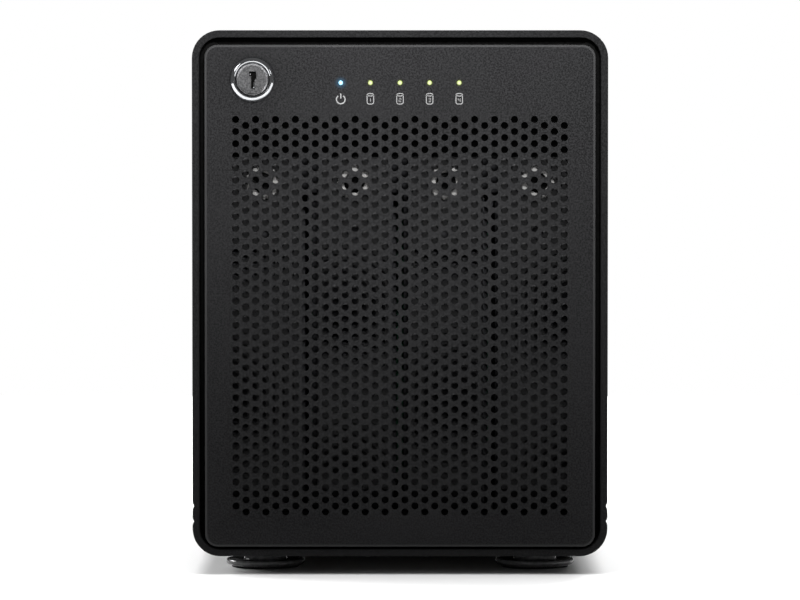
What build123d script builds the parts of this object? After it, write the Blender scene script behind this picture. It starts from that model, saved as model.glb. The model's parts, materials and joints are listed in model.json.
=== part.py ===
from build123d import *

import math
import os

# Four-bay desktop storage enclosure: aluminium tower, perforated lift-off door with a key lock, drive trays
# behind it.
#
# Frame: +X to the right seen from the front, +Y to the back, +Z up, millimetres. The origin is on the resting
# plane under the middle of the object. Distances called depth run backwards from the shell's front rim.

# ---------------------------------------------------------------- driving dimensions
SHELL_WIDTH = 135.0
SHELL_HEIGHT = 171.0
SHELL_LENGTH = 240.8
SHELL_WALL = 2.35
SHELL_RADIUS = 9.0
FOOT_HEIGHT = 6.0
LOCK_STANDOFF = 3.0  # how far the lock's bezel stands in front of the rim
REAR_RECESS = 2.0  # how far the rear panel's face lies inside the rear rim
GUARD_WIRE = 1.6
WIRE_BITE = 0.1  # crossed wires are welded this deep into each other

DRIVE_WIDTH = 101.6  # a standard 3.5 inch drive
DRIVE_THICKNESS = 26.1
DRIVE_LENGTH = 147.0
BAY_NAMES = "abcd"
BAY_PITCH = 29.8

FIT_GAP = 0.2  # sheet parts drop into the shell with this gap all round
RUNNING_GAP = 0.05  # radial gap of shafts and screws in their holes

# ---------------------------------------------------------------- derived places
REAR_FACE = SHELL_LENGTH - REAR_RECESS
TOTAL_LENGTH = LOCK_STANDOFF + REAR_FACE + 2 * GUARD_WIRE - WIRE_BITE
RIM_Y = -TOTAL_LENGTH / 2 + LOCK_STANDOFF
BOTTOM_Z = FOOT_HEIGHT
TOP_Z = BOTTOM_Z + SHELL_HEIGHT
FLOOR_Z = BOTTOM_Z + SHELL_WALL  # inner faces of the shell
CEILING_Z = TOP_Z - SHELL_WALL
INNER_X = SHELL_WIDTH / 2 - SHELL_WALL
INNER_RADIUS = SHELL_RADIUS - SHELL_WALL
MID_Z = (BOTTOM_Z + TOP_Z) / 2
BAYS = {name: (i - 1.5) * BAY_PITCH for i, name in enumerate(BAY_NAMES)}

# shell seam and the groove under it
SEAM_Z = 22.4
GROOVE_Z = 17.4
GROOVE_DEPTH = 0.5
GROOVE_HALF = 1.1
LIP_THICKNESS = 1.4
LIP_RISE = 5.5

# screw bosses in the four long corners of the shell
BOSS_RADIUS = 3.2
BOSS_INSET = 4.4
BOSS_X = INNER_X - BOSS_INSET
BOSS_LOW_Z = FLOOR_Z + BOSS_INSET
BOSS_HIGH_Z = CEILING_Z - BOSS_INSET
TAPPED_RADIUS = 1.25
M3_RADIUS = TAPPED_RADIUS - RUNNING_GAP
CLEAR_RADIUS = 1.7
SCREW_HEAD_RADIUS = 2.8
SCREW_HEAD_HEIGHT = 1.8
CORNERS = [(x, z) for x in (-BOSS_X, BOSS_X) for z in (BOSS_LOW_Z, BOSS_HIGH_Z)]

# door
DOOR_WIDTH = 126.9
DOOR_BOTTOM_Z = FLOOR_Z + 0.75
DOOR_TOP_Z = CEILING_Z - 2.35
DOOR_RADIUS = 4.2
DOOR_FACE = -0.5
DOOR_BACK = 1.5
DOOR_EDGE_RADIUS = 0.9
HOLE_RADIUS = 1.16
HOLE_COLUMNS = 34
HOLE_ROWS = 33
HOLE_COLUMN_PITCH = 3.23
HOLE_ROW_PITCH = 3.926
HOLE_TOP_Z = 148.1
LINER_BACK = 3.5
LIGHT_Z = 160.0
LIGHT_PITCH = 9.6
LIGHT_RADIUS = 0.75
LIGHT_XS = [(i - 2) * LIGHT_PITCH for i in range(5)]
STUD_X = 58.8
STUD_Z = 142.5
STUD_RADIUS = 1.9
TAB_X = 40.0
TAB_Z = 12.75

# lock
LOCK_X = -47.8
LOCK_Z = 161.1
LOCK_BEZEL_RADIUS = 7.5
LOCK_BODY_RADIUS = 6.0
LOCK_FACE_RADIUS = 5.35
LOCK_BORE_RADIUS = 4.6
CAM_FRONT = 10.4
CAM_THICKNESS = 1.6
CAM_REACH = 11.4
CAM_HALF_WIDTH = 4.0

# front frame, cage and trays
FRAME_FRONT = 7.0
FRAME_BACK = 9.0
CAGE_SHEET = 1.2
CAGE_INNER_X = 60.0
CAGE_LOW_Z = 18.6  # top face of the cage's floor
CAGE_HIGH_Z = 136.6  # underside of the cage's roof
CAGE_END = 168.0
TRAY_FACE_FRONT = 9.6
TRAY_FACE_BACK = 11.2
TRAY_FACE_WIDTH = 24.2
TRAY_FACE_LOW_Z = 27.0
TRAY_FACE_HIGH_Z = 135.8
TRAY_HOLE_RADIUS = 1.0
TRAY_HOLE_COLUMNS = 7
TRAY_HOLE_ROWS = 20
TRAY_HOLE_COLUMN_PITCH = 3.05
TRAY_HOLE_ROW_PITCH = 3.69
TRAY_HOLE_TOP_Z = 105.0
TRAY_PEEP_Z = 110.8  # the larger hole under the knob
SLED_SHEET = 1.0
SLED_LOW_Z = 19.9
SLED_WIDTH = 27.3
SLED_HIGH_Z = SLED_LOW_Z + 2 * SLED_SHEET + DRIVE_WIDTH
DRIVE_FRONT = 14.5
DRIVE_LOW_Z = SLED_LOW_Z + SLED_SHEET
DRIVE_BACK = DRIVE_FRONT + DRIVE_LENGTH
KNOB_Z = 127.5
KNOB_RADIUS = 5.7
KNOB_FRONT = 4.2
KNOB_SHANK_RADIUS = 1.7
PLUG_X = -8.3  # the drive's socket, from the middle of its bay
PLUG_Z = 57.0

# rear wall, fan and ports
REAR_INNER = REAR_FACE - 1.5
FAN_SIZE = 92.0
FAN_DEPTH = 25.0
FAN_Z = 83.0
FAN_BORE = 43.5
FAN_HOLE_OFFSET = 82.5 / 2
FAN_FRONT = REAR_INNER - FAN_DEPTH
HUB_RADIUS = 16.5
BLADE_TIP = 42.4
BLADE_THICKNESS = 1.3
BOARD_LOW_Z = 11.6
BOARD_HIGH_Z = 13.2
PORT_Z = BOARD_HIGH_Z
ETHERNET_XS = (-36.0, -16.0)
USB_XS = (8.0, 26.0)
SUPPLY_LOW_Z = CAGE_HIGH_Z + CAGE_SHEET
SUPPLY_HIGH_Z = 173.4
SUPPLY_X = (-52.0, 50.0)
SUPPLY_FRONT = 82.3
INLET_X = -30.0
POWER_Z = 156.0
SWITCH_X = -4.0
SWITCH_TILT = 8.0
SWITCH_PIVOT = REAR_FACE - 1.3

FOOT_X = 44.5
FOOT_INSET = 30.0  # from either rim to a foot's middle
FOOT_DEPTHS = (FOOT_INSET, SHELL_LENGTH - FOOT_INSET)
FOOT_PLACES = [(x, d) for x in (-FOOT_X, FOOT_X) for d in FOOT_DEPTHS]
STANDOFF_PLACES = [(x, d) for x in (-43.0, 43.0) for d in (68.0, 135.0, 203.0)]


# ---------------------------------------------------------------- helpers
def at(depth):
    """The y of a depth behind the shell's front rim."""
    return RIM_Y + depth


def slab(x, depth, z):
    """A box from three (low, high) pairs."""
    size = [high - low for low, high in (x, depth, z)]
    middle = (sum(x) / 2, at(sum(depth) / 2), sum(z) / 2)
    return Pos(*middle) * Box(*size)


def facing(depth):
    """A sketching plane across the object whose local X and Y are the row's X and Z, facing the front."""
    return Plane(origin=(0, at(depth), 0), x_dir=(1, 0, 0), z_dir=(0, -1, 0))


def plate(sketch, depth):
    """A sketch in X and Z made solid between two depths."""
    front, back = depth
    return extrude(facing(back) * sketch, back - front)


def rod_y(radius, x, z, depth):
    """A round bar along Y."""
    return plate(Pos(x, z) * Circle(radius), depth)


def rod_z(radius, x, depth, z):
    """A round bar along Z."""
    low, high = z
    return Pos(x, at(depth), (low + high) / 2) * Cylinder(radius, high - low)


def rectangle(x, z, radius=0.0):
    """A rectangle in X and Z from (low, high) pairs, with its corners rounded."""
    width, height = x[1] - x[0], z[1] - z[0]
    shape = RectangleRounded(width, height, radius) if radius else Rectangle(width, height)
    return Pos(sum(x) / 2, sum(z) / 2) * shape


def cut_all(shape, tools):
    """Shape with every tool taken away in one go."""
    return shape - list(tools)


def joined(parts):
    """Parts that touch or overlap, as one solid."""
    first, *rest = parts
    return first + rest


def group(parts):
    """Separate solids kept in one node."""
    return Compound(children=[solid for part in parts for solid in part.solids()])


def perforated(outline, centres, radius, depth):
    """A plate with a field of round holes, built straight from its outline and the holes' circles."""
    circles = [Wire(Edge.make_circle(radius, Plane.XY.offset(0).move(Location((x, z, 0))))) for x, z in centres]
    face = Face(outline.face().outer_wire(), circles)
    return plate(face, depth)


# ---------------------------------------------------------------- shell
def shell_ring():
    outside = rectangle((-SHELL_WIDTH / 2, SHELL_WIDTH / 2), (BOTTOM_Z, TOP_Z), SHELL_RADIUS)
    inside = rectangle((-INNER_X, INNER_X), (FLOOR_Z, CEILING_Z), INNER_RADIUS)
    return outside - inside


def boss(x, z):
    """A round boss run into the wall beside it, with room for a tapped hole."""
    side = math.copysign(1, x)
    up = 1 if z > MID_Z else -1
    reach = SHELL_WALL + 2.6
    web_x = Pos(x + side * reach / 2, z) * Rectangle(reach, BOSS_RADIUS)
    web_z = Pos(x, z + up * reach / 2) * Rectangle(BOSS_RADIUS, reach)
    return Pos(x, z) * Circle(BOSS_RADIUS) + web_x + web_z


def half_shell(bottom):
    """One side of the seam: the wall's section with its bosses, screw holes and the bevels that make the groove."""
    keep = (BOTTOM_Z, SEAM_Z) if bottom else (SEAM_Z, TOP_Z)
    section = shell_ring() & rectangle((-SHELL_WIDTH, SHELL_WIDTH), keep)
    body = plate(section, (0, SHELL_LENGTH))
    whole = rectangle((-SHELL_WIDTH / 2, SHELL_WIDTH / 2), (BOTTOM_Z, TOP_Z), SHELL_RADIUS)
    mine = [(x, z) for x, z in CORNERS if (z < MID_Z) == bottom]
    bosses = [plate(boss(x, z) & whole, (FRAME_BACK, REAR_INNER)) for x, z in mine]
    holes = [rod_y(TAPPED_RADIUS, x, z, (FRAME_BACK - 1, REAR_INNER + 1)) for x, z in mine]
    return cut_all(joined([body, *bosses]), holes)


def groove(z):
    """The two V-shaped cuts that a groove at this height makes, one in each side."""
    cuts = []
    for side in (-1, 1):
        x = side * SHELL_WIDTH / 2
        points = [(x + side, z - GROOVE_HALF * 3), (x + side, z + GROOVE_HALF * 3)]
        vee = Polygon(*points, (x - side * GROOVE_DEPTH, z), align=None)
        cuts.append(plate(vee, (-1, SHELL_LENGTH + 1)))
    return cuts


def top_cover():
    return cut_all(half_shell(bottom=False), groove(SEAM_Z))


def base_pan():
    pan = half_shell(bottom=True)
    lips, feet, standoffs, holes = [], [], [], []
    for side in (-1, 1):
        rise = (INNER_X - LIP_THICKNESS, INNER_X - 0.1)
        root = (INNER_X - LIP_THICKNESS, INNER_X + 0.5)
        for (low, high), z in ((rise, (SEAM_Z - 1, SEAM_Z + LIP_RISE)), (root, (SEAM_Z - 6, SEAM_Z - 0.5))):
            x = (low, high) if side > 0 else (-high, -low)
            lips.append(slab(x, (FRAME_BACK + 1, REAR_INNER - 1), z))
    for x, depth in FOOT_PLACES:
        feet.append(rod_z(3.6, x, depth, (FLOOR_Z - 0.5, FLOOR_Z + 2.4)))
        holes.append(rod_z(1.5, x, depth, (BOTTOM_Z - 1, FLOOR_Z + 3)))
    for x, depth in STANDOFF_PLACES:
        standoffs.append(rod_z(3.0, x, depth, (FLOOR_Z - 0.5, BOARD_LOW_Z)))
        holes.append(rod_z(TAPPED_RADIUS, x, depth, (FLOOR_Z, BOARD_LOW_Z + 1)))
    pan = joined([pan, *lips, *feet, *standoffs])
    return cut_all(pan, [*holes, *groove(SEAM_Z), *groove(GROOVE_Z)])


def feet():
    """Four saucer feet: a hub under the shell, a dished disc, a recess below for the pad and the screw."""
    hub, rim = 7.0, 13.0
    outline = [(1.7, 3.2), (1.7, FOOT_HEIGHT), (hub, FOOT_HEIGHT), (hub, 2.3)]
    outline += [(rim - 0.6, 2.75), (rim, 2.3), (rim - 0.3, 1.1), (rim - 1.4, 0.6)]
    outline += [(11.2, 0.6), (11.2, 1.2), (5.0, 1.2), (5.0, 0.9), (3.4, 0.9), (3.4, 3.2)]
    profile = make_face(Plane.XZ * Polyline(*outline, close=True))
    foot = revolve(profile, Axis.Z)
    return group([Pos(x, at(depth), 0) * foot for x, depth in FOOT_PLACES])


def foot_pads():
    pad = Pos(0, 0, 0.6) * (Cylinder(11.15, 1.2) - Cylinder(5.1, 1.2))
    pad = fillet(pad.edges().filter_by(GeomType.CIRCLE).group_by(Axis.Z)[0], 0.35)
    return group([Pos(x, at(depth), 0) * pad for x, depth in FOOT_PLACES])


def cross_cut(radius):
    """A Phillips recess's sketch."""
    return Rectangle(radius * 1.3, radius * 0.26) + Rectangle(radius * 0.26, radius * 1.3)


def foot_screws():
    head = Pos(0, 0, 2.3) * Cylinder(3.1, 1.8) - extrude(Pos(0, 0, 1.0) * cross_cut(3.1), 1.3)
    screw = head + Pos(0, 0, 6.9) * Cylinder(1.45, 7.4)
    return group([Pos(x, at(depth), 0) * screw for x, depth in FOOT_PLACES])


# ---------------------------------------------------------------- screws along Y
def screw_y(x, z, seat, toward, length, radius=M3_RADIUS):
    """A pan-head screw: its head sits on the face at depth seat, its shank runs toward +1 (back) or -1."""
    shank = sorted((seat, seat + toward * length))
    head = sorted((seat, seat - toward * SCREW_HEAD_HEIGHT))
    recess = sorted((seat - toward * 0.8, seat - toward * (SCREW_HEAD_HEIGHT + 1)))
    body = rod_y(SCREW_HEAD_RADIUS, x, z, head) + rod_y(radius, x, z, shank)
    return body - plate(Pos(x, z) * cross_cut(SCREW_HEAD_RADIUS), recess)


def case_screws():
    front = [screw_y(x, z, FRAME_FRONT, 1, 8) for x, z in CORNERS]
    rear = [screw_y(x, z, REAR_FACE, -1, 10) for x, z in CORNERS]
    return group(front + rear)


# ---------------------------------------------------------------- door
def hole_centres():
    middle = (HOLE_COLUMNS - 1) / 2
    for column in range(HOLE_COLUMNS):
        drop = HOLE_ROW_PITCH / 2 if column % 2 else 0
        for row in range(HOLE_ROWS):
            yield (column - middle) * HOLE_COLUMN_PITCH, HOLE_TOP_Z - drop - row * HOLE_ROW_PITCH


def door_panel():
    outline = rectangle((-DOOR_WIDTH / 2, DOOR_WIDTH / 2), (DOOR_BOTTOM_Z, DOOR_TOP_Z), DOOR_RADIUS)
    panel = perforated(outline, hole_centres(), HOLE_RADIUS, (DOOR_FACE, DOOR_BACK))
    front = panel.faces().sort_by(Axis.Y)[0]
    panel = fillet(front.outer_wire().edges(), DOOR_EDGE_RADIUS)
    lock_hole = rod_y(LOCK_BODY_RADIUS + RUNNING_GAP, LOCK_X, LOCK_Z, (DOOR_FACE - 1, DOOR_BACK + 1))
    lights = [rod_y(LIGHT_RADIUS + RUNNING_GAP, x, LIGHT_Z, (DOOR_FACE - 1, DOOR_BACK + 1)) for x in LIGHT_XS]
    return cut_all(panel, [lock_hole, *lights])


def door_liner():
    """The moulded frame behind the panel, with its two snap studs at the top and two tabs at the bottom."""
    back = (DOOR_BACK, LINER_BACK)
    window = rectangle((-56.0, 56.0), (17.5, 150.5), 3.0)
    lights = [Pos(x, LIGHT_Z) * Circle(1.75) for x in LIGHT_XS]
    sketch = rectangle((-61.5, 61.5), (11.0, 170.2), 3.0) - window - Pos(LOCK_X, LOCK_Z) * Circle(10.5) - lights
    parts = [plate(sketch, back)]
    for side in (-1, 1):
        stud = rod_y(STUD_RADIUS, side * STUD_X, STUD_Z, (LINER_BACK - 0.5, 10.6))
        parts.append(chamfer(stud.faces().sort_by(Axis.Y)[-1].edges(), 0.8))
        tab_x = (side * TAB_X - 4, side * TAB_X + 4)
        parts.append(slab(tab_x, (LINER_BACK - 0.5, 10.6), (TAB_Z - 0.7, TAB_Z + 0.7)))
    return joined(parts)


def light_pipes():
    pipes = []
    for x in LIGHT_XS:
        tip = rod_y(LIGHT_RADIUS, x, LIGHT_Z, (DOOR_FACE, DOOR_BACK))
        flange = rod_y(1.6, x, LIGHT_Z, (DOOR_BACK, DOOR_BACK + 1))
        tail = rod_y(1.1, x, LIGHT_Z, (DOOR_BACK + 1, 5.4))
        pipes.append(joined([tip, flange, tail]))
    return group(pipes)


def lock_housing():
    """Bezel ring in front of the panel and the threaded body behind it, bored for the barrel."""
    front = -LOCK_STANDOFF
    bezel = rod_y(LOCK_BEZEL_RADIUS, LOCK_X, LOCK_Z, (front, DOOR_FACE))
    outer_front = bezel.faces().sort_by(Axis.Y)[0].edges()
    bezel = chamfer(outer_front, 1.0)
    body = rod_y(LOCK_BODY_RADIUS, LOCK_X, LOCK_Z, (DOOR_FACE, 9.6))
    wide = rod_y(LOCK_FACE_RADIUS + 0.1, LOCK_X, LOCK_Z, (front - 1, 0.05))
    bore = rod_y(LOCK_BORE_RADIUS, LOCK_X, LOCK_Z, (0, 10))
    return cut_all(bezel + body, [wide, bore])


def lock_barrel():
    """The turning barrel: its face with the keyway, its body, and the square tail that carries the cam."""
    face = rod_y(LOCK_FACE_RADIUS, LOCK_X, LOCK_Z, (-LOCK_STANDOFF + 0.5, 0))
    face = chamfer(face.faces().sort_by(Axis.Y)[0].edges(), 0.35)
    body = rod_y(LOCK_BORE_RADIUS - RUNNING_GAP, LOCK_X, LOCK_Z, (0, 9.8))
    tail = plate(Pos(LOCK_X, LOCK_Z) * Rectangle(5, 5), (9.8, CAM_FRONT + CAM_THICKNESS))
    washer = rod_y(3.6, LOCK_X, LOCK_Z, (CAM_FRONT + CAM_THICKNESS, CAM_FRONT + CAM_THICKNESS + 1.4))
    keyway = Pos(LOCK_X, LOCK_Z) * (Pos(0, -0.2) * Rectangle(1.3, 5.6) + Pos(0.1, 1.3) * Rectangle(2.3, 2.6))
    return joined([face, body, tail, washer]) - plate(keyway, (-LOCK_STANDOFF, 6))


def lock_cam():
    arm = Pos(LOCK_X, LOCK_Z - CAM_REACH / 2) * Rectangle(2 * CAM_HALF_WIDTH, CAM_REACH)
    sketch = Pos(LOCK_X, LOCK_Z) * Circle(6.0) + arm - Pos(LOCK_X, LOCK_Z) * Rectangle(5.04, 5.04)
    return plate(sketch, (CAM_FRONT, CAM_FRONT + CAM_THICKNESS))


def lock_nut():
    ring = RegularPolygon(8.6, 6) - Circle(LOCK_BODY_RADIUS + RUNNING_GAP)
    return plate(Pos(LOCK_X, LOCK_Z) * ring, (DOOR_BACK, DOOR_BACK + 3))


# ---------------------------------------------------------------- front frame
def front_frame():
    outline = rectangle(
        (-INNER_X + FIT_GAP, INNER_X - FIT_GAP),
        (FLOOR_Z + FIT_GAP, CEILING_Z - FIT_GAP),
        INNER_RADIUS - FIT_GAP,
    )
    cuts = [rectangle((-CAGE_INNER_X, CAGE_INNER_X), (CAGE_LOW_Z, CAGE_HIGH_Z), 1.0)]
    cuts.append(rectangle((-57.0, -38.4), (146.5, 171.0), 1.5))
    cuts += [Pos(x, z) * Circle(CLEAR_RADIUS) for x, z in CORNERS]
    cuts += [Pos(x, LIGHT_Z) * Circle(1.7) for x in LIGHT_XS]
    for side in (-1, 1):
        cuts.append(Pos(side * STUD_X, STUD_Z) * Circle(3.2))
        cuts.append(Pos(side * TAB_X, TAB_Z) * Rectangle(8.8, 2.2))
    body = plate(outline - cuts, (FRAME_FRONT, FRAME_BACK))
    posts = []
    for x in (-23.0, 23.0):
        post = rod_y(2.6, x, 165.0, (FRAME_BACK - 0.2, 10.2))
        posts.append(post)
    holes = [rod_y(TAPPED_RADIUS, x, 165.0, (FRAME_BACK - 1, 11)) for x in (-23.0, 23.0)]
    return cut_all(joined([body, *posts]), holes)


def catch_grommets():
    """Two soft rings in the front frame that grip the door's studs."""
    rings = []
    for side in (-1, 1):
        place = (side * STUD_X, STUD_Z)
        body = rod_y(3.15, *place, (FRAME_FRONT - 0.8, FRAME_BACK + 0.8))
        collar = rod_y(4.0, *place, (FRAME_FRONT - 0.8, FRAME_FRONT))
        lip = rod_y(3.6, *place, (FRAME_BACK, FRAME_BACK + 0.8))
        rings.append(body + collar + lip - rod_y(STUD_RADIUS + RUNNING_GAP, *place, (0, 20)))
    return group(rings)


def light_board():
    """The indicator board with one lamp behind each light pipe."""
    board = plate(rectangle((-27.0, 27.0), (154.5, 169.0), 1.0), (10.2, 11.8))
    board = cut_all(board, [rod_y(CLEAR_RADIUS, x, 165.0, (9, 13)) for x in (-23.0, 23.0)])
    lamps = []
    for x in LIGHT_XS:
        lamp = rod_y(1.5, x, LIGHT_Z, (6.0, 10.2))
        lamps.append(fillet(lamp.faces().sort_by(Axis.Y)[0].edges(), 1.2))
    return group([board, *lamps])


# ---------------------------------------------------------------- cage and guides
def drive_cage():
    """Folded steel tube round the four bays, vented at the sides, with tabs at the back for the backplane."""
    outer = CAGE_INNER_X + CAGE_SHEET
    section = rectangle((-outer, outer), (CAGE_LOW_Z - CAGE_SHEET, CAGE_HIGH_Z + CAGE_SHEET), 1.0)
    section -= rectangle((-CAGE_INNER_X, CAGE_INNER_X), (CAGE_LOW_Z, CAGE_HIGH_Z))
    parts = [plate(section, (FRAME_BACK, CAGE_END))]
    tabs = [(x, z) for x in (-1, 1) for z in (24.5, 130.5)]
    for side, z in tabs:
        x = sorted((side * (CAGE_INNER_X - 7), side * (CAGE_INNER_X + 0.5)))
        parts.append(slab(x, (CAGE_END - CAGE_SHEET, CAGE_END), (z - 4, z + 4)))
    holes = [rod_y(TAPPED_RADIUS, side * 56.0, z, (CAGE_END - 3, CAGE_END + 1)) for side, z in tabs]
    windows = []
    for i in range(4):
        front = 26 + i * 36
        windows.append(slab((-70, 70), (front, front + 24), (38, 116)))
    return cut_all(joined(parts), holes + windows)


def cage_rails():
    """Two channels that carry the cage on the base pan, clear of the main board."""
    rails = []
    for side in (-1, 1):
        web = sorted((side * 50.0, side * 51.2))
        flange = sorted((side * 50.0, side * 56.5))
        along = (14, 160)
        low, high = FLOOR_Z, CAGE_LOW_Z - CAGE_SHEET
        rails.append(
            slab(web, along, (low, high))
            + slab(flange, along, (low, low + 1.2))
            + slab(flange, along, (high - 1.2, high))
        )
    return group(rails)


def knob_bar():
    """Bar across the top of the bays with the tapped holes that the tray knobs screw into."""
    x = (-CAGE_INNER_X + 0.1, CAGE_INNER_X - 0.1)
    bar = slab(x, (12.6, 16.6), (SLED_HIGH_Z + 0.5, CAGE_HIGH_Z))
    radius = KNOB_SHANK_RADIUS + RUNNING_GAP
    return cut_all(bar, [rod_y(radius, bay, KNOB_Z, (12, 17)) for bay in BAYS.values()])


def guide_rails():
    """Upper and lower plastic guides: a comb of ribs between the trays on a thin web."""
    edges = [(i - 2) * BAY_PITCH for i in range(5)]
    half_gap = (BAY_PITCH - SLED_WIDTH) / 2
    reach = CAGE_INNER_X - 0.1
    lower = [slab((-reach, reach), (10, 166), (CAGE_LOW_Z, CAGE_LOW_Z + 1.0))]
    upper = [slab((-reach, reach), (17, 166), (CAGE_HIGH_Z - 1.2, CAGE_HIGH_Z))]
    for edge in edges:
        low = max(edge - half_gap + 0.6, -reach)
        high = min(edge + half_gap - 0.6, reach)
        lower.append(slab((low, high), (13, 166), (CAGE_LOW_Z, CAGE_LOW_Z + 5.5)))
        upper.append(slab((low, high), (17, 166), (SLED_HIGH_Z - 4.0, CAGE_HIGH_Z)))
    return group([joined(lower), joined(upper)])


# ---------------------------------------------------------------- trays
def tray_bezel(bay):
    """The tray's perforated front with its folded sides and the hole for its knob."""
    half = TRAY_FACE_WIDTH / 2
    outline = rectangle((bay - half, bay + half), (TRAY_FACE_LOW_Z, TRAY_FACE_HIGH_Z), 1.6)
    centres = []
    for column in range(TRAY_HOLE_COLUMNS):
        drop = TRAY_HOLE_ROW_PITCH / 2 if column % 2 else 0
        x = bay + (column - (TRAY_HOLE_COLUMNS - 1) / 2) * TRAY_HOLE_COLUMN_PITCH
        centres += [(x, TRAY_HOLE_TOP_Z - drop - row * TRAY_HOLE_ROW_PITCH) for row in range(TRAY_HOLE_ROWS)]
    face = perforated(outline, centres, TRAY_HOLE_RADIUS, (TRAY_FACE_FRONT, TRAY_FACE_BACK))
    parts = [face]
    for side in (-1, 1):
        x = sorted((bay + side * (half - 1.0), bay + side * half))
        parts.append(slab(x, (TRAY_FACE_BACK - 0.4, 14.0), (28.6, 121.0)))
    return cut_all(joined(parts), [rod_y(2.0, bay, z, (9, 12)) for z in (KNOB_Z, TRAY_PEEP_Z)])


def screw_spots(bay):
    """Where the drive's side screws go: (x, depth, sign of the flange)."""
    x = bay - SLED_WIDTH / 2 + SLED_SHEET + 0.2 + 6.35
    rear = DRIVE_BACK - 28.5
    return [(x, depth, side) for depth in (rear, rear - 101.6) for side in (-1, 1)]


def tray_sled(bay):
    """Folded sheet round the drive: web, top and bottom flanges, and the windowed front flange behind the bezel."""
    left, right = bay - SLED_WIDTH / 2, bay + 12.0
    low, high = SLED_LOW_Z, SLED_HIGH_Z
    front = TRAY_FACE_BACK
    web = slab((left, left + SLED_SHEET), (front, DRIVE_BACK - 0.5), (low, high))
    floor = slab((left, right), (front, 150), (low, low + SLED_SHEET))
    roof = slab((left, right), (front, 150), (high - SLED_SHEET, high))
    inner = TRAY_FACE_WIDTH / 2 - 1.1
    flange = slab((bay - inner, bay + inner), (front, front + SLED_SHEET), (low, high))
    link = slab((left, right), (front, front + SLED_SHEET), (low, 26.8))
    cuts = [slab((bay - 10.2, bay + 10.2), (front - 1, front + 2), (30, 115))]
    cuts.append(slab((left - 1, left + 2), (front - 1, 14.2), (26.8, 121.6)))
    for i in range(3):
        cuts.append(slab((left - 1, left + 2), (28 + i * 44, 62 + i * 44), (34, 109)))
    for x, depth, side in screw_spots(bay):
        outer = high if side > 0 else low
        cuts.append(rod_z(1.75, x, depth, (outer - 2, outer + 2)))
        cuts.append(rod_z(2.8, x, depth, sorted((outer - side * 0.6, outer + side))))
    return cut_all(joined([web, floor, roof, flange, link]), cuts)


def hard_drive(bay):
    """A 3.5 inch drive on its edge: casting, raised cover on one side, recessed board side, rear socket."""
    left = bay - SLED_WIDTH / 2 + SLED_SHEET + 0.2
    right = left + DRIVE_THICKNESS
    low, high = DRIVE_LOW_Z, DRIVE_LOW_Z + DRIVE_WIDTH
    cover = 1.0
    body = slab((left, right - cover), (DRIVE_FRONT, DRIVE_BACK), (low, high))
    body = fillet(body.edges().filter_by(Axis.X), 2.0)
    lid = slab((right - cover, right), (DRIVE_FRONT + 3, DRIVE_BACK - 6), (low + 3, high - 3))
    lid = fillet(lid.edges().filter_by(Axis.X), 5.0)
    hub = Pos(right, at(DRIVE_FRONT + 62), (low + high) / 2) * Rot(0, 90, 0) * Cylinder(13, 0.5)
    plug_x = bay + PLUG_X
    socket = slab((plug_x - 3.4, plug_x + 3.4), (DRIVE_BACK - 5.5, DRIVE_BACK + 1), (PLUG_Z - 22, PLUG_Z + 22))
    recess = slab((left - 1, left + 0.8), (DRIVE_FRONT + 30, DRIVE_BACK - 2), (low + 12, high - 12))
    holes = []
    for x, depth, side in screw_spots(bay):
        edge = high if side > 0 else low
        holes.append(rod_z(1.65, x, depth, sorted((edge - side * 4.3, edge + side))))
    return cut_all(body + lid - hub, [socket, recess, *holes])


def tray_screws(bay):
    screws = []
    for x, depth, side in screw_spots(bay):
        face = (SLED_HIGH_Z if side > 0 else SLED_LOW_Z) - side * 0.05
        seat = face - side * 0.55
        head = rod_z(2.7, x, depth, sorted((face, seat)))
        shank = rod_z(1.6, x, depth, sorted((seat, seat - side * 4.4)))
        screws.append(head + shank)
    return group(screws)


def tray_knob(bay):
    """Captive knob: grooved rim, cross recess and plain shank."""
    grip = Circle(KNOB_RADIUS)
    notches = [Rot(0, 0, i * 20) * Pos(KNOB_RADIUS + 0.15, 0) * Circle(0.45) for i in range(18)]
    rim = plate(Pos(bay, KNOB_Z) * (grip - notches), (KNOB_FRONT + 0.6, TRAY_FACE_FRONT - 0.8))
    front = rod_y(KNOB_RADIUS - 0.7, bay, KNOB_Z, (KNOB_FRONT, KNOB_FRONT + 0.6))
    neck = rod_y(KNOB_RADIUS - 1.2, bay, KNOB_Z, (TRAY_FACE_FRONT - 0.8, TRAY_FACE_FRONT))
    shank = rod_y(KNOB_SHANK_RADIUS, bay, KNOB_Z, (TRAY_FACE_FRONT, 17.4))
    dish = rod_y(3.4, bay, KNOB_Z, (KNOB_FRONT - 1, KNOB_FRONT + 1.0))
    cross = plate(Pos(bay, KNOB_Z) * cross_cut(3.6), (KNOB_FRONT - 1, KNOB_FRONT + 2.6))
    return cut_all(joined([rim, front, neck, shank]), [dish, cross])


# ---------------------------------------------------------------- boards
def backplane_board():
    board = rectangle((-59.0, 59.0), (20.4, 134.6), 1.0)
    cuts = [rectangle((bay - 2.0, bay + 10.5), (34, 116), 2.0) for bay in BAYS.values()]
    cuts += [Pos(x, z) * Circle(CLEAR_RADIUS) for x in (-56.0, 56.0) for z in (24.5, 130.5)]
    return plate(board - cuts, (CAGE_END, CAGE_END + 1.6))


def sata_connectors():
    parts = []
    for bay in BAYS.values():
        x = bay + PLUG_X
        base = slab((x - 3.0, x + 3.0), (DRIVE_BACK + 0.6, CAGE_END), (PLUG_Z - 21.5, PLUG_Z + 21.5))
        tongue = slab((x - 2.2, x + 2.2), (DRIVE_BACK - 4.4, DRIVE_BACK + 0.6), (PLUG_Z - 20, PLUG_Z + 20))
        slot = slab((x - 0.7, x + 0.7), (DRIVE_BACK - 5, DRIVE_BACK - 0.5), (PLUG_Z - 18.5, PLUG_Z + 18.5))
        parts.append(base + tongue - slot)
    return group(parts)


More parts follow.
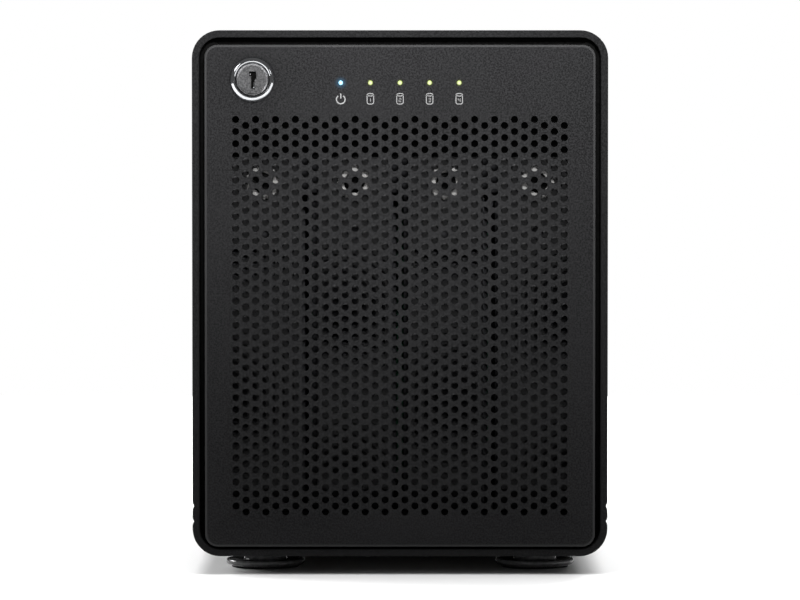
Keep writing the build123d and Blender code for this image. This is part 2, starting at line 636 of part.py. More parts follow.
def board_screws():
    screws = [screw_y(x, z, CAGE_END + 1.6, -1, 2.7) for x in (-56.0, 56.0) for z in (24.5, 130.5)]
    screws += [screw_y(x, 165.0, 11.8, -1, 3.4) for x in (-23.0, 23.0)]
    for x, depth in STANDOFF_PLACES:
        head = rod_z(SCREW_HEAD_RADIUS, x, depth, (BOARD_HIGH_Z, BOARD_HIGH_Z + SCREW_HEAD_HEIGHT))
        screws.append(head + rod_z(M3_RADIUS, x, depth, (BOARD_HIGH_Z - 4.4, BOARD_HIGH_Z)))
    return group(screws)


def main_board():
    board = slab((-47.5, 47.5), (62, REAR_INNER - 1), (BOARD_LOW_Z, BOARD_HIGH_Z))
    return cut_all(board, [rod_z(CLEAR_RADIUS, x, depth, (10, 15)) for x, depth in STANDOFF_PLACES])


def board_components():
    """Chips, power header and filter parts on the main board, low under the cage and taller behind it."""
    top = BOARD_HIGH_Z
    parts = [slab((-14, 14), (180, 208), (top, top + 1.8))]
    for i in range(4):
        parts.append(slab((-36 + i * 18, -24 + i * 18), (148, 158), (top, top + 1.1)))
    for i in range(3):
        parts.append(slab((-30 + i * 20, -18 + i * 20), (104, 116), (top, top + 3.2)))
    parts.append(slab((26, 40), (176, 194), (top, top + 9)))
    for i in range(4):
        parts.append(rod_z(3.2, -30, 176 + i * 8.5, (top, top + 8)))
    return group(parts)


def processor_heatsink():
    low = BOARD_HIGH_Z + 1.8
    parts = [slab((-19, 19), (176, 210), (low, low + 3))]
    for i in range(10):
        x = -19 + i * 4.1
        parts.append(slab((x, x + 1.1), (176, 210), (low + 2.5, low + 15)))
    return joined(parts)


def ethernet_jacks():
    jacks = []
    for x in ETHERNET_XS:
        body = slab((x - 8, x + 8), (REAR_FACE - 20.5, REAR_FACE + 0.5), (PORT_Z, PORT_Z + 13.4))
        cavity = slab((x - 5.9, x + 5.9), (REAR_FACE - 12.5, REAR_FACE + 1), (PORT_Z + 4.2, PORT_Z + 12.2))
        latch = slab((x - 3.1, x + 3.1), (REAR_FACE - 12.5, REAR_FACE + 1), (PORT_Z + 2.0, PORT_Z + 4.4))
        jacks.append(cut_all(body, [cavity, latch]))
    return group(jacks)


def usb_ports():
    ports = []
    for x in USB_XS:
        shell = slab((x - 6.6, x + 6.6), (REAR_FACE - 14, REAR_FACE + 0.5), (PORT_Z, PORT_Z + 5.8))
        cavity = slab((x - 6.1, x + 6.1), (REAR_FACE - 10, REAR_FACE + 1), (PORT_Z + 0.5, PORT_Z + 5.3))
        tongue = slab((x - 5.5, x + 5.5), (REAR_FACE - 10.5, REAR_FACE - 1), (PORT_Z + 3.1, PORT_Z + 4.9))
        ports.append(shell - cavity + tongue)
    return group(ports)


# ---------------------------------------------------------------- power supply
def vent_slots(x, z, pitch, width, depth):
    """Upright round-ended slots side by side between two x."""
    count = int((x[1] - x[0]) / pitch) + 1
    first = (x[0] + x[1] - (count - 1) * pitch) / 2
    height = z[1] - z[0]
    slot = Rot(0, 0, 90) * SlotOverall(height, width)
    return [plate(Pos(first + i * pitch, sum(z) / 2) * slot, depth) for i in range(count)]


def rear_cutouts():
    """The openings that the rear panel and the supply's case share: inlet, switch and vents."""
    depth = (REAR_INNER - 2, REAR_FACE + 1)
    inlet = plate(Pos(INLET_X, POWER_Z) * Rectangle(27.4, 20.2), depth)
    switch = plate(Pos(SWITCH_X, POWER_Z) * Rectangle(13.3, 19.4), depth)
    return [inlet, switch, *vent_slots((12, 44), (144, 168), 4.0, 2.2, depth)]


def supply_case():
    case = slab(SUPPLY_X, (SUPPLY_FRONT, REAR_INNER), (SUPPLY_LOW_Z, SUPPLY_HIGH_Z))
    case = fillet(case.edges().filter_by(Axis.Y), 0.8)
    inside = slab(
        (SUPPLY_X[0] + 1, SUPPLY_X[1] - 1),
        (SUPPLY_FRONT + 1, REAR_INNER - 1),
        (SUPPLY_LOW_Z + 1, SUPPLY_HIGH_Z - 1),
    )
    front_vents = vent_slots((-44, 42), (143, 168), 4.5, 2.4, (SUPPLY_FRONT - 1, SUPPLY_FRONT + 2))
    return cut_all(case, [inside, *rear_cutouts(), *front_vents])


def supply_board():
    """The converter inside the supply: board, transformer, chokes, capacitors and a heat spreader."""
    low = SUPPLY_LOW_Z + 4.0
    board = slab((-48, 46), (SUPPLY_FRONT + 6, 215), (low, low + 1.6))
    top = low + 1.6
    parts = [board]
    parts.append(slab((-12, 16), (130, 158), (top, top + 22)))
    parts.append(slab((-40, -36), (100, 190), (top, top + 24)))
    parts.append(slab((24, 44), (178, 200), (top, top + 14)))
    for x, depth in ((-22, 190), (0, 190), (-22, 168)):
        parts.append(rod_z(8.0, x, depth, (top, top + 25)))
    for i in range(4):
        parts.append(rod_z(4.0, 8 + i * 9.5, 104, (top, top + 18)))
    return group(parts)


def ac_inlet():
    """Appliance inlet: flange, body and the socket with its two cut corners."""
    place = Pos(INLET_X, POWER_Z)
    flange = plate(place * RectangleRounded(31, 23.6, 2.0), (REAR_FACE, REAR_FACE + 2))
    body = plate(place * Rectangle(27.0, 19.8), (REAR_FACE - 17, REAR_FACE))
    mouth = Rectangle(24.4, 16.6)
    mouth = chamfer(mouth.vertices().group_by(Axis.Y)[-1], 4.0)
    return flange + body - plate(place * mouth, (REAR_FACE - 15, REAR_FACE + 3))


def inlet_pins():
    pins = []
    for dx, dz in ((-7.0, -2.0), (7.0, -2.0), (0.0, 2.0)):
        x, z = INLET_X + dx, POWER_Z + dz
        pins.append(slab((x - 1.0, x + 1.0), (REAR_FACE - 15, REAR_FACE - 2.4), (z - 2.0, z + 2.0)))
    return group(pins)


def switch_frame():
    place = Pos(SWITCH_X, POWER_Z)
    flange = plate(place * RectangleRounded(15, 21, 1.2), (REAR_FACE, REAR_FACE + 1.6))
    body = plate(place * Rectangle(13.0, 19.2), (REAR_FACE - 13, REAR_FACE))
    well = plate(place * Rectangle(10.6, 16.8), (REAR_FACE - 10, REAR_FACE + 3))
    pivot = Pos(SWITCH_X, at(SWITCH_PIVOT), POWER_Z) * Rot(0, 90, 0) * Cylinder(1.25, 12.2)
    return cut_all(flange + body, [well, pivot])


def switch_rocker():
    """The rocker, stored pressed to its on side."""
    points = [(-3.2, -7.2), (2.3, -7.5), (1.1, 0), (2.3, 7.5), (-3.2, 7.2)]
    side = Plane(origin=(5.1, 0, 0), x_dir=(0, 1, 0), z_dir=(1, 0, 0))
    paddle = extrude(side * make_face(Polyline(*points, close=True)), -10.2)
    paddle = fillet(paddle.edges().filter_by(Axis.X).group_by(Axis.Y)[-1], 0.7)
    pins = Rot(0, 90, 0) * Cylinder(1.2, 12.0)
    return Pos(SWITCH_X, at(SWITCH_PIVOT), POWER_Z) * Rot(SWITCH_TILT, 0, 0) * (paddle + pins)


# ---------------------------------------------------------------- fan and rear wall
FAN_HOLES = [(side * FAN_HOLE_OFFSET, FAN_Z + up * FAN_HOLE_OFFSET) for side in (-1, 1) for up in (-1, 1)]


def rear_panel():
    outline = rectangle(
        (-INNER_X + FIT_GAP, INNER_X - FIT_GAP),
        (FLOOR_Z + FIT_GAP, CEILING_Z - FIT_GAP),
        INNER_RADIUS - FIT_GAP,
    )
    cuts = [Pos(0, FAN_Z) * Circle(FAN_BORE)]
    cuts += [Pos(x, z) * Circle(2.3) for x, z in FAN_HOLES]
    cuts += [Pos(x, z) * Circle(CLEAR_RADIUS) for x, z in CORNERS]
    cuts += [rectangle((x - 8.2, x + 8.2), (PORT_Z - 0.2, PORT_Z + 13.6)) for x in ETHERNET_XS]
    cuts += [rectangle((x - 6.8, x + 6.8), (PORT_Z - 0.2, PORT_Z + 6.0)) for x in USB_XS]
    cuts.append(Pos(56.0, 100.0) * RectangleRounded(3.2, 7.2, 1.2))
    panel = plate(outline - cuts, (REAR_INNER, REAR_FACE))
    depth = (REAR_INNER - 1, REAR_FACE + 1)
    return cut_all(panel, [*rear_cutouts(), *vent_slots((38, 54), (14, 27), 4.0, 2.2, depth)])


def fan_frame():
    """Square fan body with its round bore, four spokes and the plate that carries the motor."""
    half = FAN_SIZE / 2
    square = rectangle((-half, half), (FAN_Z - half, FAN_Z + half), 4.0)
    holes = [Pos(x, z) * Circle(2.15) for x, z in FAN_HOLES]
    hub = Pos(0, FAN_Z)
    ring = plate(square - hub * Circle(FAN_BORE) - holes, (FAN_FRONT, REAR_INNER))
    waist = plate(hub * Circle(60) - hub * Circle(FAN_BORE + 1.8), (FAN_FRONT + 4, REAR_INNER - 4))
    ring -= waist
    posts = []
    for x, z in FAN_HOLES:
        post = rod_y(3.9, x, z, (FAN_FRONT, REAR_INNER))
        posts.append(post - rod_y(2.15, x, z, (FAN_FRONT - 1, REAR_INNER + 1)))
    spoke = Pos(FAN_BORE / 2 + 4, 0) * Rectangle(FAN_BORE - 6, 3.0)
    spokes = [hub * Rot(0, 0, 45 + i * 90) * spoke for i in range(4)]
    spider = plate(hub * Circle(HUB_RADIUS + 0.5) + spokes, (REAR_INNER - 3.5, REAR_INNER))
    return joined([ring, *posts, spider]) - rod_y(1.6, 0, FAN_Z, (REAR_INNER - 4, REAR_INNER - 1))


def fan_stator():
    """Motor core on its tube, inside the rotor's cup."""
    back = REAR_INNER - 3.5
    slots = [Rot(0, 0, i * 60) * Pos(11.5, 0) * Rectangle(6, 2.2) for i in range(6)]
    core = plate(Pos(0, FAN_Z) * (Circle(13.0) - slots), (FAN_FRONT + 7, back - 4))
    tube = rod_y(4.0, 0, FAN_Z, (FAN_FRONT + 6, back))
    board = rod_y(12.5, 0, FAN_Z, (back - 1.4, back))
    return joined([core, tube, board]) - rod_y(1.55, 0, FAN_Z, (FAN_FRONT, REAR_INNER))


def blade():
    """One twisted blade, lofted from a steep section at the hub to a flat one at the tip."""
    sections = []
    for radius, angle, chord in ((HUB_RADIUS - 0.6, 52, 15), (30.0, 42, 19), (BLADE_TIP, 33, 22)):
        plane = Plane(origin=(radius, 0, 0), x_dir=(0, 1, 0), z_dir=(1, 0, 0))
        sections.append(plane * Rot(0, 0, angle) * Rectangle(chord, BLADE_THICKNESS))
    return loft(sections)


def fan_rotor():
    """Cup, shaft and seven blades."""
    cup_front, cup_back = FAN_FRONT + 2.5, REAR_INNER - 5.5
    cup = rod_y(HUB_RADIUS, 0, FAN_Z, (cup_front, cup_back))
    cup = fillet(cup.faces().sort_by(Axis.Y)[0].edges(), 1.5)
    cup -= rod_y(14.5, 0, FAN_Z, (cup_front + 2, cup_back + 1))
    shaft = rod_y(1.5, 0, FAN_Z, (cup_front + 1.5, REAR_INNER - 2.5))
    middle = Pos(0, at((cup_front + cup_back) / 2), FAN_Z)
    blades = [middle * Rot(0, i * 360 / 7, 0) * blade() for i in range(7)]
    inside = rod_y(14.5, 0, FAN_Z, (cup_front + 2, cup_back + 2))
    blades = [b - inside for b in blades]
    return joined([cup, shaft, *blades])


def fan_guard():
    """Wire guard: five rings on four stays that end in screw eyes."""
    wire = GUARD_WIRE / 2
    seat, ring_depth = REAR_FACE + wire, REAR_FACE + GUARD_WIRE * 1.5 - WIRE_BITE
    parts = []
    for radius in (9.0, 17.0, 25.0, 33.0, 41.0):
        parts.append(Pos(0, at(ring_depth), FAN_Z) * Rot(90, 0, 0) * Torus(radius, wire))
    for x, z in FAN_HOLES:
        reach = math.hypot(x, z - FAN_Z)
        turn = math.degrees(math.atan2(z - FAN_Z, x))
        length = reach - 3.0 - 7.5
        stay = Pos(7.5 + length / 2, 0, 0) * Rot(0, 90, 0) * Cylinder(wire, length)
        parts.append(Pos(0, at(seat), FAN_Z) * Rot(0, -turn, 0) * stay)
        parts.append(Pos(x, at(seat), z) * Rot(90, 0, 0) * Torus(3.2, wire))
    return joined(parts)


def fan_screws():
    screws = []
    for x, z in FAN_HOLES:
        seat = REAR_FACE + GUARD_WIRE
        head = rod_y(3.6, x, z, (seat, seat + 1.4)) - plate(Pos(x, z) * cross_cut(3.4), (seat + 0.5, seat + 2))
        screws.append(head + rod_y(2.1, x, z, (seat - 14, seat)))
    return group(screws)


# ---------------------------------------------------------------- all nodes
def nodes():
    """Every node's name and the function that makes it."""
    fixed = [top_cover, base_pan, feet, foot_pads, foot_screws, case_screws]
    fixed += [front_frame, catch_grommets, light_board]
    fixed += [drive_cage, cage_rails, knob_bar, guide_rails]
    fixed += [backplane_board, sata_connectors, board_screws]
    fixed += [main_board, board_components, processor_heatsink, ethernet_jacks, usb_ports]
    fixed += [supply_case, supply_board, ac_inlet, inlet_pins, switch_frame, switch_rocker]
    fixed += [rear_panel, fan_frame, fan_stator, fan_rotor, fan_guard, fan_screws]
    fixed += [door_panel, door_liner, light_pipes, lock_housing, lock_barrel, lock_cam, lock_nut]
    for make in fixed:
        yield make.__name__, make
    for name, bay in BAYS.items():
        yield f"tray_{name}_bezel", lambda bay=bay: tray_bezel(bay)
        yield f"tray_{name}_sled", lambda bay=bay: tray_sled(bay)
        yield f"tray_{name}_knob", lambda bay=bay: tray_knob(bay)
        yield f"tray_{name}_screws", lambda bay=bay: tray_screws(bay)
        yield f"hard_drive_{name}", lambda bay=bay: hard_drive(bay)


def main():
    os.makedirs("parts", exist_ok=True)
    for name, make in nodes():
        export_step(make(), f"parts/{name}.step")


main()
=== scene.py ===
"""Looks of the four-bay storage tower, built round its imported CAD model."""

import json
import math

import bmesh
import bpy
from mathutils import Matrix, Vector
from mathutils.geometry import delaunay_2d_cdt


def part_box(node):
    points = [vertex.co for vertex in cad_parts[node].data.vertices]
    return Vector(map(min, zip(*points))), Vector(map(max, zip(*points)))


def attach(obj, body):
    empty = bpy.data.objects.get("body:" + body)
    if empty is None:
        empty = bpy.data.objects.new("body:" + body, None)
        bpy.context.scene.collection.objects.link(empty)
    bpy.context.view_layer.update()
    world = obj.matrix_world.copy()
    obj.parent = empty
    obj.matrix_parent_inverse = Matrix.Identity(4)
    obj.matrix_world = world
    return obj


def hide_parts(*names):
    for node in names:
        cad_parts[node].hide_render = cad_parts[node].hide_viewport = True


MM = 0.001
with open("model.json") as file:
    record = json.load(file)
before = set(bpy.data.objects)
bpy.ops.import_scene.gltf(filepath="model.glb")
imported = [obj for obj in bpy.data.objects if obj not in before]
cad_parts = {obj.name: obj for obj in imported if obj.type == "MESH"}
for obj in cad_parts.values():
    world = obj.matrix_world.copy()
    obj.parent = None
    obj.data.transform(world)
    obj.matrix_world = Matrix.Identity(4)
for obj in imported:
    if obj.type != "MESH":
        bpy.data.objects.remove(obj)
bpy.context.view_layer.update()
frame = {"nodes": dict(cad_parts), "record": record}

# ---------------------------------------------------------------- places, in millimetres, read from the frame


def span(node):
    """A node's box in millimetres: low corner and high corner."""
    low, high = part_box(node)
    return low / MM, high / MM


cover_low, cover_high = span("top_cover")
pan_low, pan_high = span("base_pan")
door_low, door_high = span("door_panel")
HALF_WIDTH = cover_high.x
RIM = cover_low.y
SHELL_BACK = cover_high.y
SHELL_LOW, SHELL_TOP = pan_low.z, cover_high.z
WALL, CORNER = 2.35, 9.0
SEAM_Z, GROOVE_Z = cover_low.z, cover_low.z - 5.0
GROOVE_DEPTH, GROOVE_HALF = 0.5, 1.1
DOOR_Y, DOOR_BACK_Y = door_low.y, door_high.y
LIGHT_Z, LIGHT_PITCH, LIGHT_RADIUS = 160.0, 9.6, 0.75
LIGHT_XS = [(i - 2) * LIGHT_PITCH for i in range(5)]
lock_low, lock_high = span("lock_housing")
LOCK_X, LOCK_Z = (lock_low.x + lock_high.x) / 2, (lock_low.z + lock_high.z) / 2
BAYS = {name: (span(f"tray_{name}_bezel")[0].x + span(f"tray_{name}_bezel")[1].x) / 2 for name in "abcd"}

# ---------------------------------------------------------------- mesh helpers


def finish_mesh(bm, name, body, material, sharp=35):
    """The bmesh as an object: millimetres to metres, smooth apart from its sharp edges, riding on a body."""
    bmesh.ops.remove_doubles(bm, verts=bm.verts, dist=1e-5)
    bmesh.ops.recalc_face_normals(bm, faces=bm.faces)
    limit = math.radians(sharp)
    for face in bm.faces:
        face.smooth = True
    for edge in bm.edges:
        edge.smooth = len(edge.link_faces) == 2 and edge.calc_face_angle(0) < limit
    bmesh.ops.scale(bm, vec=(MM, MM, MM), verts=bm.verts)
    mesh = bpy.data.meshes.new(name)
    bm.to_mesh(mesh)
    bm.free()
    piece = bpy.data.objects.new(name, mesh)
    bpy.context.scene.collection.objects.link(piece)
    piece.data.materials.append(material)
    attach(piece, body)
    return piece


def circle(x, z, radius, count):
    """Points round a circle in X and Z, as a function of how much larger it is drawn."""
    turns = [2 * math.pi * i / count for i in range(count)]
    return lambda grow: [(x + (radius + grow) * math.cos(t), z + (radius + grow) * math.sin(t)) for t in turns]


def rounded(low, high, radius, steps=8):
    """Points round a rounded rectangle in X and Z, as a function of how much larger it is drawn."""

    def points(grow):
        result = []
        for quarter, (sx, sz) in enumerate(((1, 1), (-1, 1), (-1, -1), (1, -1))):
            cx = (high[0] if sx > 0 else low[0]) - sx * radius
            cz = (high[1] if sz > 0 else low[1]) - sz * radius
            for i in range(steps + 1):
                t = (quarter + i / steps) * math.pi / 2
                result.append((cx + (radius + grow) * math.cos(t), cz + (radius + grow) * math.sin(t)))
        return result

    return points


def polygon(points):
    """A fixed outline, the same at every growth."""
    return lambda grow: points


def add_wall(bm, rings):
    """Quads between neighbouring closed rings of vertices."""
    for lower, upper in zip(rings, rings[1:]):
        count = len(lower)
        for i in range(count):
            j = (i + 1) % count
            bm.faces.new((lower[i], lower[j], upper[j], upper[i]))


def encloses(loop, x, z):
    """Whether a ring of vertices in X and Z runs round a point."""
    hit = False
    for a, b in zip(loop, loop[1:] + loop[:1]):
        if (a.co.z > z) != (b.co.z > z):
            hit ^= x < a.co.x + (z - a.co.z) * (b.co.x - a.co.x) / (b.co.z - a.co.z)
    return hit


def add_plate(bm, outline, holes, outline_rings, hole_rings):
    """A plate across Y with holes. Each ring is (y, growth), from the front face to the back face."""

    def ring(shape, y, grow):
        return [bm.verts.new((x, y, z)) for x, z in shape(grow)]

    loops = [[ring(outline, y, grow) for y, grow in outline_rings]]
    loops += [[ring(hole, y, grow) for y, grow in hole_rings] for hole in holes]
    flat, edges, owner = [], [], []
    for number, loop in enumerate(loops):
        start = len(flat)
        count = len(loop[0])
        flat += [Vector((v.co.x, v.co.z)) for v in loop[0]]
        edges += [(start + i, start + (i + 1) % count) for i in range(count)]
        owner += [number] * count
    faces = delaunay_2d_cdt(flat, edges, [], 1, 1e-6, False)[2]
    fronts = [v for loop in loops for v in loop[0]]
    backs = [v for loop in loops for v in loop[-1]]
    for face in faces:
        owners = {owner[i] for i in face}
        middle = sum((flat[i] for i in face), Vector((0, 0))) / len(face)
        if len(owners) == 1 and owners != {0} and encloses(loops[owners.pop()][0], *middle):
            continue
        bm.faces.new([fronts[i] for i in face])
        bm.faces.new([backs[i] for i in reversed(face)])
    for loop in loops:
        add_wall(bm, loop)


def add_lathe(bm, profile, centre, axis="Y", count=64):
    """A closed profile of (radius, place along the axis) turned round the axis; radius 0 closes at a point."""
    rings = []
    for radius, along in profile:
        if radius < 1e-6:
            rings.append([bm.verts.new(lathe_point(0, along, 0, centre, axis))])
            continue
        rings.append(
            [bm.verts.new(lathe_point(radius, along, 2 * math.pi * i / count, centre, axis)) for i in range(count)]
        )
    for lower, upper in zip(rings, rings[1:] + rings[:1]):
        if len(lower) == 1 and len(upper) == 1:
            continue
        for i in range(count):
            j = (i + 1) % count
            if len(lower) == 1:
                bm.faces.new((lower[0], upper[j], upper[i]))
            elif len(upper) == 1:
                bm.faces.new((lower[i], lower[j], upper[0]))
            else:
                bm.faces.new((lower[i], lower[j], upper[j], upper[i]))


def lathe_point(radius, along, turn, centre, axis):
    a, b = radius * math.cos(turn), radius * math.sin(turn)
    x, y, z = centre
    return (x + a, y + along, z + b) if axis == "Y" else (x + a, y + b, z + along)


def add_box(bm, low, high, edge=0.0):
    """A box between two corners, its edges rounded."""
    made = bmesh.ops.create_cube(bm, size=1.0)
    size = [h - l for l, h in zip(low, high)]
    middle = [(h + l) / 2 for l, h in zip(low, high)]
    bmesh.ops.scale(bm, vec=size, verts=made["verts"])
    bmesh.ops.translate(bm, vec=middle, verts=made["verts"])
    if edge:
        edges = {e for v in made["verts"] for e in v.link_edges}
        bmesh.ops.bevel(bm, geom=list(edges), offset=edge, segments=2, affect="EDGES", profile=0.5)


def add_ribbon(bm, points, width, front, back, closed=False):
    """A flat stroke of ink through points in X and Z, with a little thickness."""
    count = len(points)
    sides = []
    for i, (x, z) in enumerate(points):
        before = points[i - 1] if i or closed else points[i]
        after = points[(i + 1) % count] if i < count - 1 or closed else points[i]
        along = Vector((after[0] - before[0], after[1] - before[1])).normalized()
        off = Vector((-along.y, along.x)) * width / 2
        sides.append([(x + off.x, z + off.y), (x - off.x, z - off.y)])
    rows = []
    for left, right in sides:
        rows.append([bm.verts.new((p[0], y, p[1])) for p, y in ((left, front), (right, front), (right, back), (left, back))])
    pairs = list(zip(rows, rows[1:])) + ([(rows[-1], rows[0])] if closed else [])
    for first, second in pairs:
        for i in range(4):
            j = (i + 1) % 4
            bm.faces.new((first[i], first[j], second[j], second[i]))
    if not closed:
        bm.faces.new(rows[0])
        bm.faces.new(rows[-1][::-1])


# ---------------------------------------------------------------- materials


def surface(
    name,
    colour,
    rough,
    metallic=0.0,
    specular=0.5,
    grain=0.35,
    bump=0.15,
    bump_depth=0.02,
    spread=0.12,
    rough_spread=0.08,
    wear_and_highlight=0.15,
    wear_and_highlight_colour=None,
    edge=0.25,
    stretch=(1, 1, 1),
    coat=0.0,
):
    """A surface with fine grain, broad colour and gloss variation, rounded edges and a paler tint along them, which is
    wear and, on the door, also a painted highlight.
    """
    material = bpy.data.materials.new(name)
    material.use_nodes = True
    tree = material.node_tree
    make, join = tree.nodes.new, tree.links.new
    shader = tree.nodes["Principled BSDF"]
    shader.inputs["Metallic"].default_value = metallic
    shader.inputs["Specular IOR Level"].default_value = specular
    shader.inputs["Coat Weight"].default_value = coat
    shader.inputs["Coat Roughness"].default_value = 0.08
    place = make("ShaderNodeTexCoord")
    mapping = make("ShaderNodeMapping")
    mapping.inputs["Scale"].default_value = stretch
    join(place.outputs["Object"], mapping.inputs["Vector"])

    def noise(scale, detail):
        node = make("ShaderNodeTexNoise")
        node.inputs["Scale"].default_value = scale
        node.inputs["Detail"].default_value = detail
        node.inputs["Roughness"].default_value = 0.6
        join(mapping.outputs["Vector"], node.inputs["Vector"])
        return node.outputs["Fac"]

    def ranged(value, low, high, bottom, top):
        node = make("ShaderNodeMapRange")
        for socket, number in zip(("From Min", "From Max", "To Min", "To Max"), (low, high, bottom, top)):
            node.inputs[socket].default_value = number
        join(value, node.inputs["Value"])
        return node.outputs["Result"]

    def mixed(factor, first, second):
        node = make("ShaderNodeMix")
        node.data_type = "RGBA"
        join(factor, node.inputs["Factor"])
        for socket, value in ((node.inputs[6], first), (node.inputs[7], second)):
            if isinstance(value, tuple):
                socket.default_value = (*value, 1)
            else:
                join(value, socket)
        return node.outputs[2]

    fine = noise(1000 / grain, 3)
    broad = noise(28, 4)
    dark = tuple(c * (1 - spread) for c in colour)
    light = tuple(min(1, c * (1 + spread)) for c in colour)
    speck = mixed(ranged(fine, 0.4, 0.6, 0, 1), dark, light)
    cloud = mixed(ranged(broad, 0.3, 0.7, 0, 0.35), speck, light)

    bevel = make("ShaderNodeBevel")
    bevel.samples = 4
    bevel.inputs["Radius"].default_value = edge * MM
    flat = make("ShaderNodeNewGeometry")
    dot = make("ShaderNodeVectorMath")
    dot.operation = "DOT_PRODUCT"
    join(bevel.outputs["Normal"], dot.inputs[0])
    join(flat.outputs["Normal"], dot.inputs[1])
    edge_amount = ranged(dot.outputs["Value"], 0.99, 0.85, 0, wear_and_highlight)
    edge_mark = make("ShaderNodeMath")
    edge_mark.operation = "MULTIPLY"
    join(edge_amount, edge_mark.inputs[0])
    join(ranged(noise(260, 3), 0.4, 0.6, 0, 1), edge_mark.inputs[1])
    edge_colour = wear_and_highlight_colour or tuple(min(1, c * 2 + 0.01) for c in colour)
    join(mixed(edge_mark.outputs[0], cloud, edge_colour), shader.inputs["Base Color"])
    join(ranged(broad, 0.3, 0.7, rough - rough_spread, rough + rough_spread), shader.inputs["Roughness"])

    relief = make("ShaderNodeBump")
    relief.inputs["Strength"].default_value = bump
    relief.inputs["Distance"].default_value = bump_depth * MM
    join(fine, relief.inputs["Height"])
    join(bevel.outputs["Normal"], relief.inputs["Normal"])
    join(relief.outputs["Normal"], shader.inputs["Normal"])
    return material


def glowing(name, colour, core, strength):
    """A lit lens: whiter in the middle of its face, coloured at its rim, as its mesh's core attribute says."""
    material = bpy.data.materials.new(name)
    material.use_nodes = True
    tree = material.node_tree
    shader = tree.nodes["Principled BSDF"]
    shader.inputs["Base Color"].default_value = (*colour, 1)
    shader.inputs["Roughness"].default_value = 0.2
    shader.inputs["Emission Strength"].default_value = strength
    shade = tree.nodes.new("ShaderNodeAttribute")
    shade.attribute_name = "core"
    ramp = tree.nodes.new("ShaderNodeValToRGB")
    ramp.color_ramp.elements[0].color = (*colour, 1)
    ramp.color_ramp.elements[1].color = (*core, 1)
    tree.links.new(shade.outputs["Fac"], ramp.inputs["Fac"])
    tree.links.new(ramp.outputs["Color"], shader.inputs["Emission Color"])
    return material


def painted_edge_highlight(material, colour):
    """Paints a highlight on a surface where its mesh's round attribute marks a rounded edge: a paler tint that stands
    in for the light the round catches.
    """
    tree = material.node_tree
    socket = tree.nodes["Principled BSDF"].inputs["Base Color"]
    mask = tree.nodes.new("ShaderNodeAttribute")
    mask.attribute_name = "round"
    blend = tree.nodes.new("ShaderNodeMix")
    blend.data_type = "RGBA"
    blend.inputs[7].default_value = (*colour, 1)
    tree.links.new(mask.outputs["Fac"], blend.inputs["Factor"])
    tree.links.new(socket.links[0].from_socket, blend.inputs[6])
    tree.links.new(blend.outputs[2], socket)


def painted_front_shade(material, colour, specular):
    """Paints shade on a surface in front of the object's middle, deep in the door's gap: blackens it there and takes
    its gloss away.
    """
    tree = material.node_tree
    shader = tree.nodes["Principled BSDF"]
    place = tree.nodes.new("ShaderNodeTexCoord")
    parts = tree.nodes.new("ShaderNodeSeparateXYZ")
    tree.links.new(place.outputs["Object"], parts.inputs["Vector"])
    behind = tree.nodes.new("ShaderNodeMath")
    behind.operation = "GREATER_THAN"
    behind.inputs[1].default_value = 0
    tree.links.new(parts.outputs["Y"], behind.inputs[0])
    gloss = tree.nodes.new("ShaderNodeMapRange")
    gloss.inputs["To Min"].default_value = specular
    gloss.inputs["To Max"].default_value = shader.inputs["Specular IOR Level"].default_value
    tree.links.new(behind.outputs["Value"], gloss.inputs["Value"])
    tree.links.new(gloss.outputs["Result"], shader.inputs["Specular IOR Level"])
    blend = tree.nodes.new("ShaderNodeMix")
    blend.data_type = "RGBA"
    blend.inputs[6].default_value = (*colour, 1)
    tree.links.new(behind.outputs["Value"], blend.inputs["Factor"])
    tree.links.new(shader.inputs["Base Color"].links[0].from_socket, blend.inputs[7])
    tree.links.new(blend.outputs[2], shader.inputs["Base Color"])


def spill_light(material, spots):
    """Lets light spill on a surface round the lenses. Each spot is (place in metres, reach in metres, colour)."""
    tree = material.node_tree
    place = tree.nodes.new("ShaderNodeTexCoord")
    total = None
    for centre, reach, colour in spots:
        away = tree.nodes.new("ShaderNodeVectorMath")
        away.operation = "DISTANCE"
        away.inputs[1].default_value = centre
        tree.links.new(place.outputs["Object"], away.inputs[0])
        fade = tree.nodes.new("ShaderNodeMapRange")
        fade.interpolation_type = "SMOOTHERSTEP"
        fade.inputs["From Min"].default_value = 0
        fade.inputs["From Max"].default_value = reach
        fade.inputs["To Min"].default_value = 1
        fade.inputs["To Max"].default_value = 0
        tree.links.new(away.outputs["Value"], fade.inputs["Value"])
        tint = tree.nodes.new("ShaderNodeVectorMath")
        tint.operation = "SCALE"
        tint.inputs[0].default_value = colour
        tree.links.new(fade.outputs["Result"], tint.inputs["Scale"])
        if total is None:
            total = tint
            continue
        both = tree.nodes.new("ShaderNodeVectorMath")
        both.operation = "ADD"
        tree.links.new(total.outputs["Vector"], both.inputs[0])
        tree.links.new(tint.outputs["Vector"], both.inputs[1])
        total = both
    shader = tree.nodes["Principled BSDF"]
    shader.inputs["Emission Strength"].default_value = 1
    tree.links.new(total.outputs["Vector"], shader.inputs["Emission Color"])


# On the door the paler colour along the edges is partly wear and partly a painted highlight, as if the edges caught the
# light.
DOOR_COAT = surface(
    "door_coat", (0.0098, 0.0098, 0.0102), 0.5, specular=0.05, grain=0.55, bump=0.5, bump_depth=0.05, spread=0.5, wear_and_highlight=0.8,
    wear_and_highlight_colour=(0.035, 0.035, 0.036)
)
SHELL_COAT = surface(
    "shell_coat", (0.0078, 0.0078, 0.0081), 0.5, specular=0.05, grain=0.55, bump=0.4, bump_depth=0.05, spread=0.45, wear_and_highlight=0.3
)
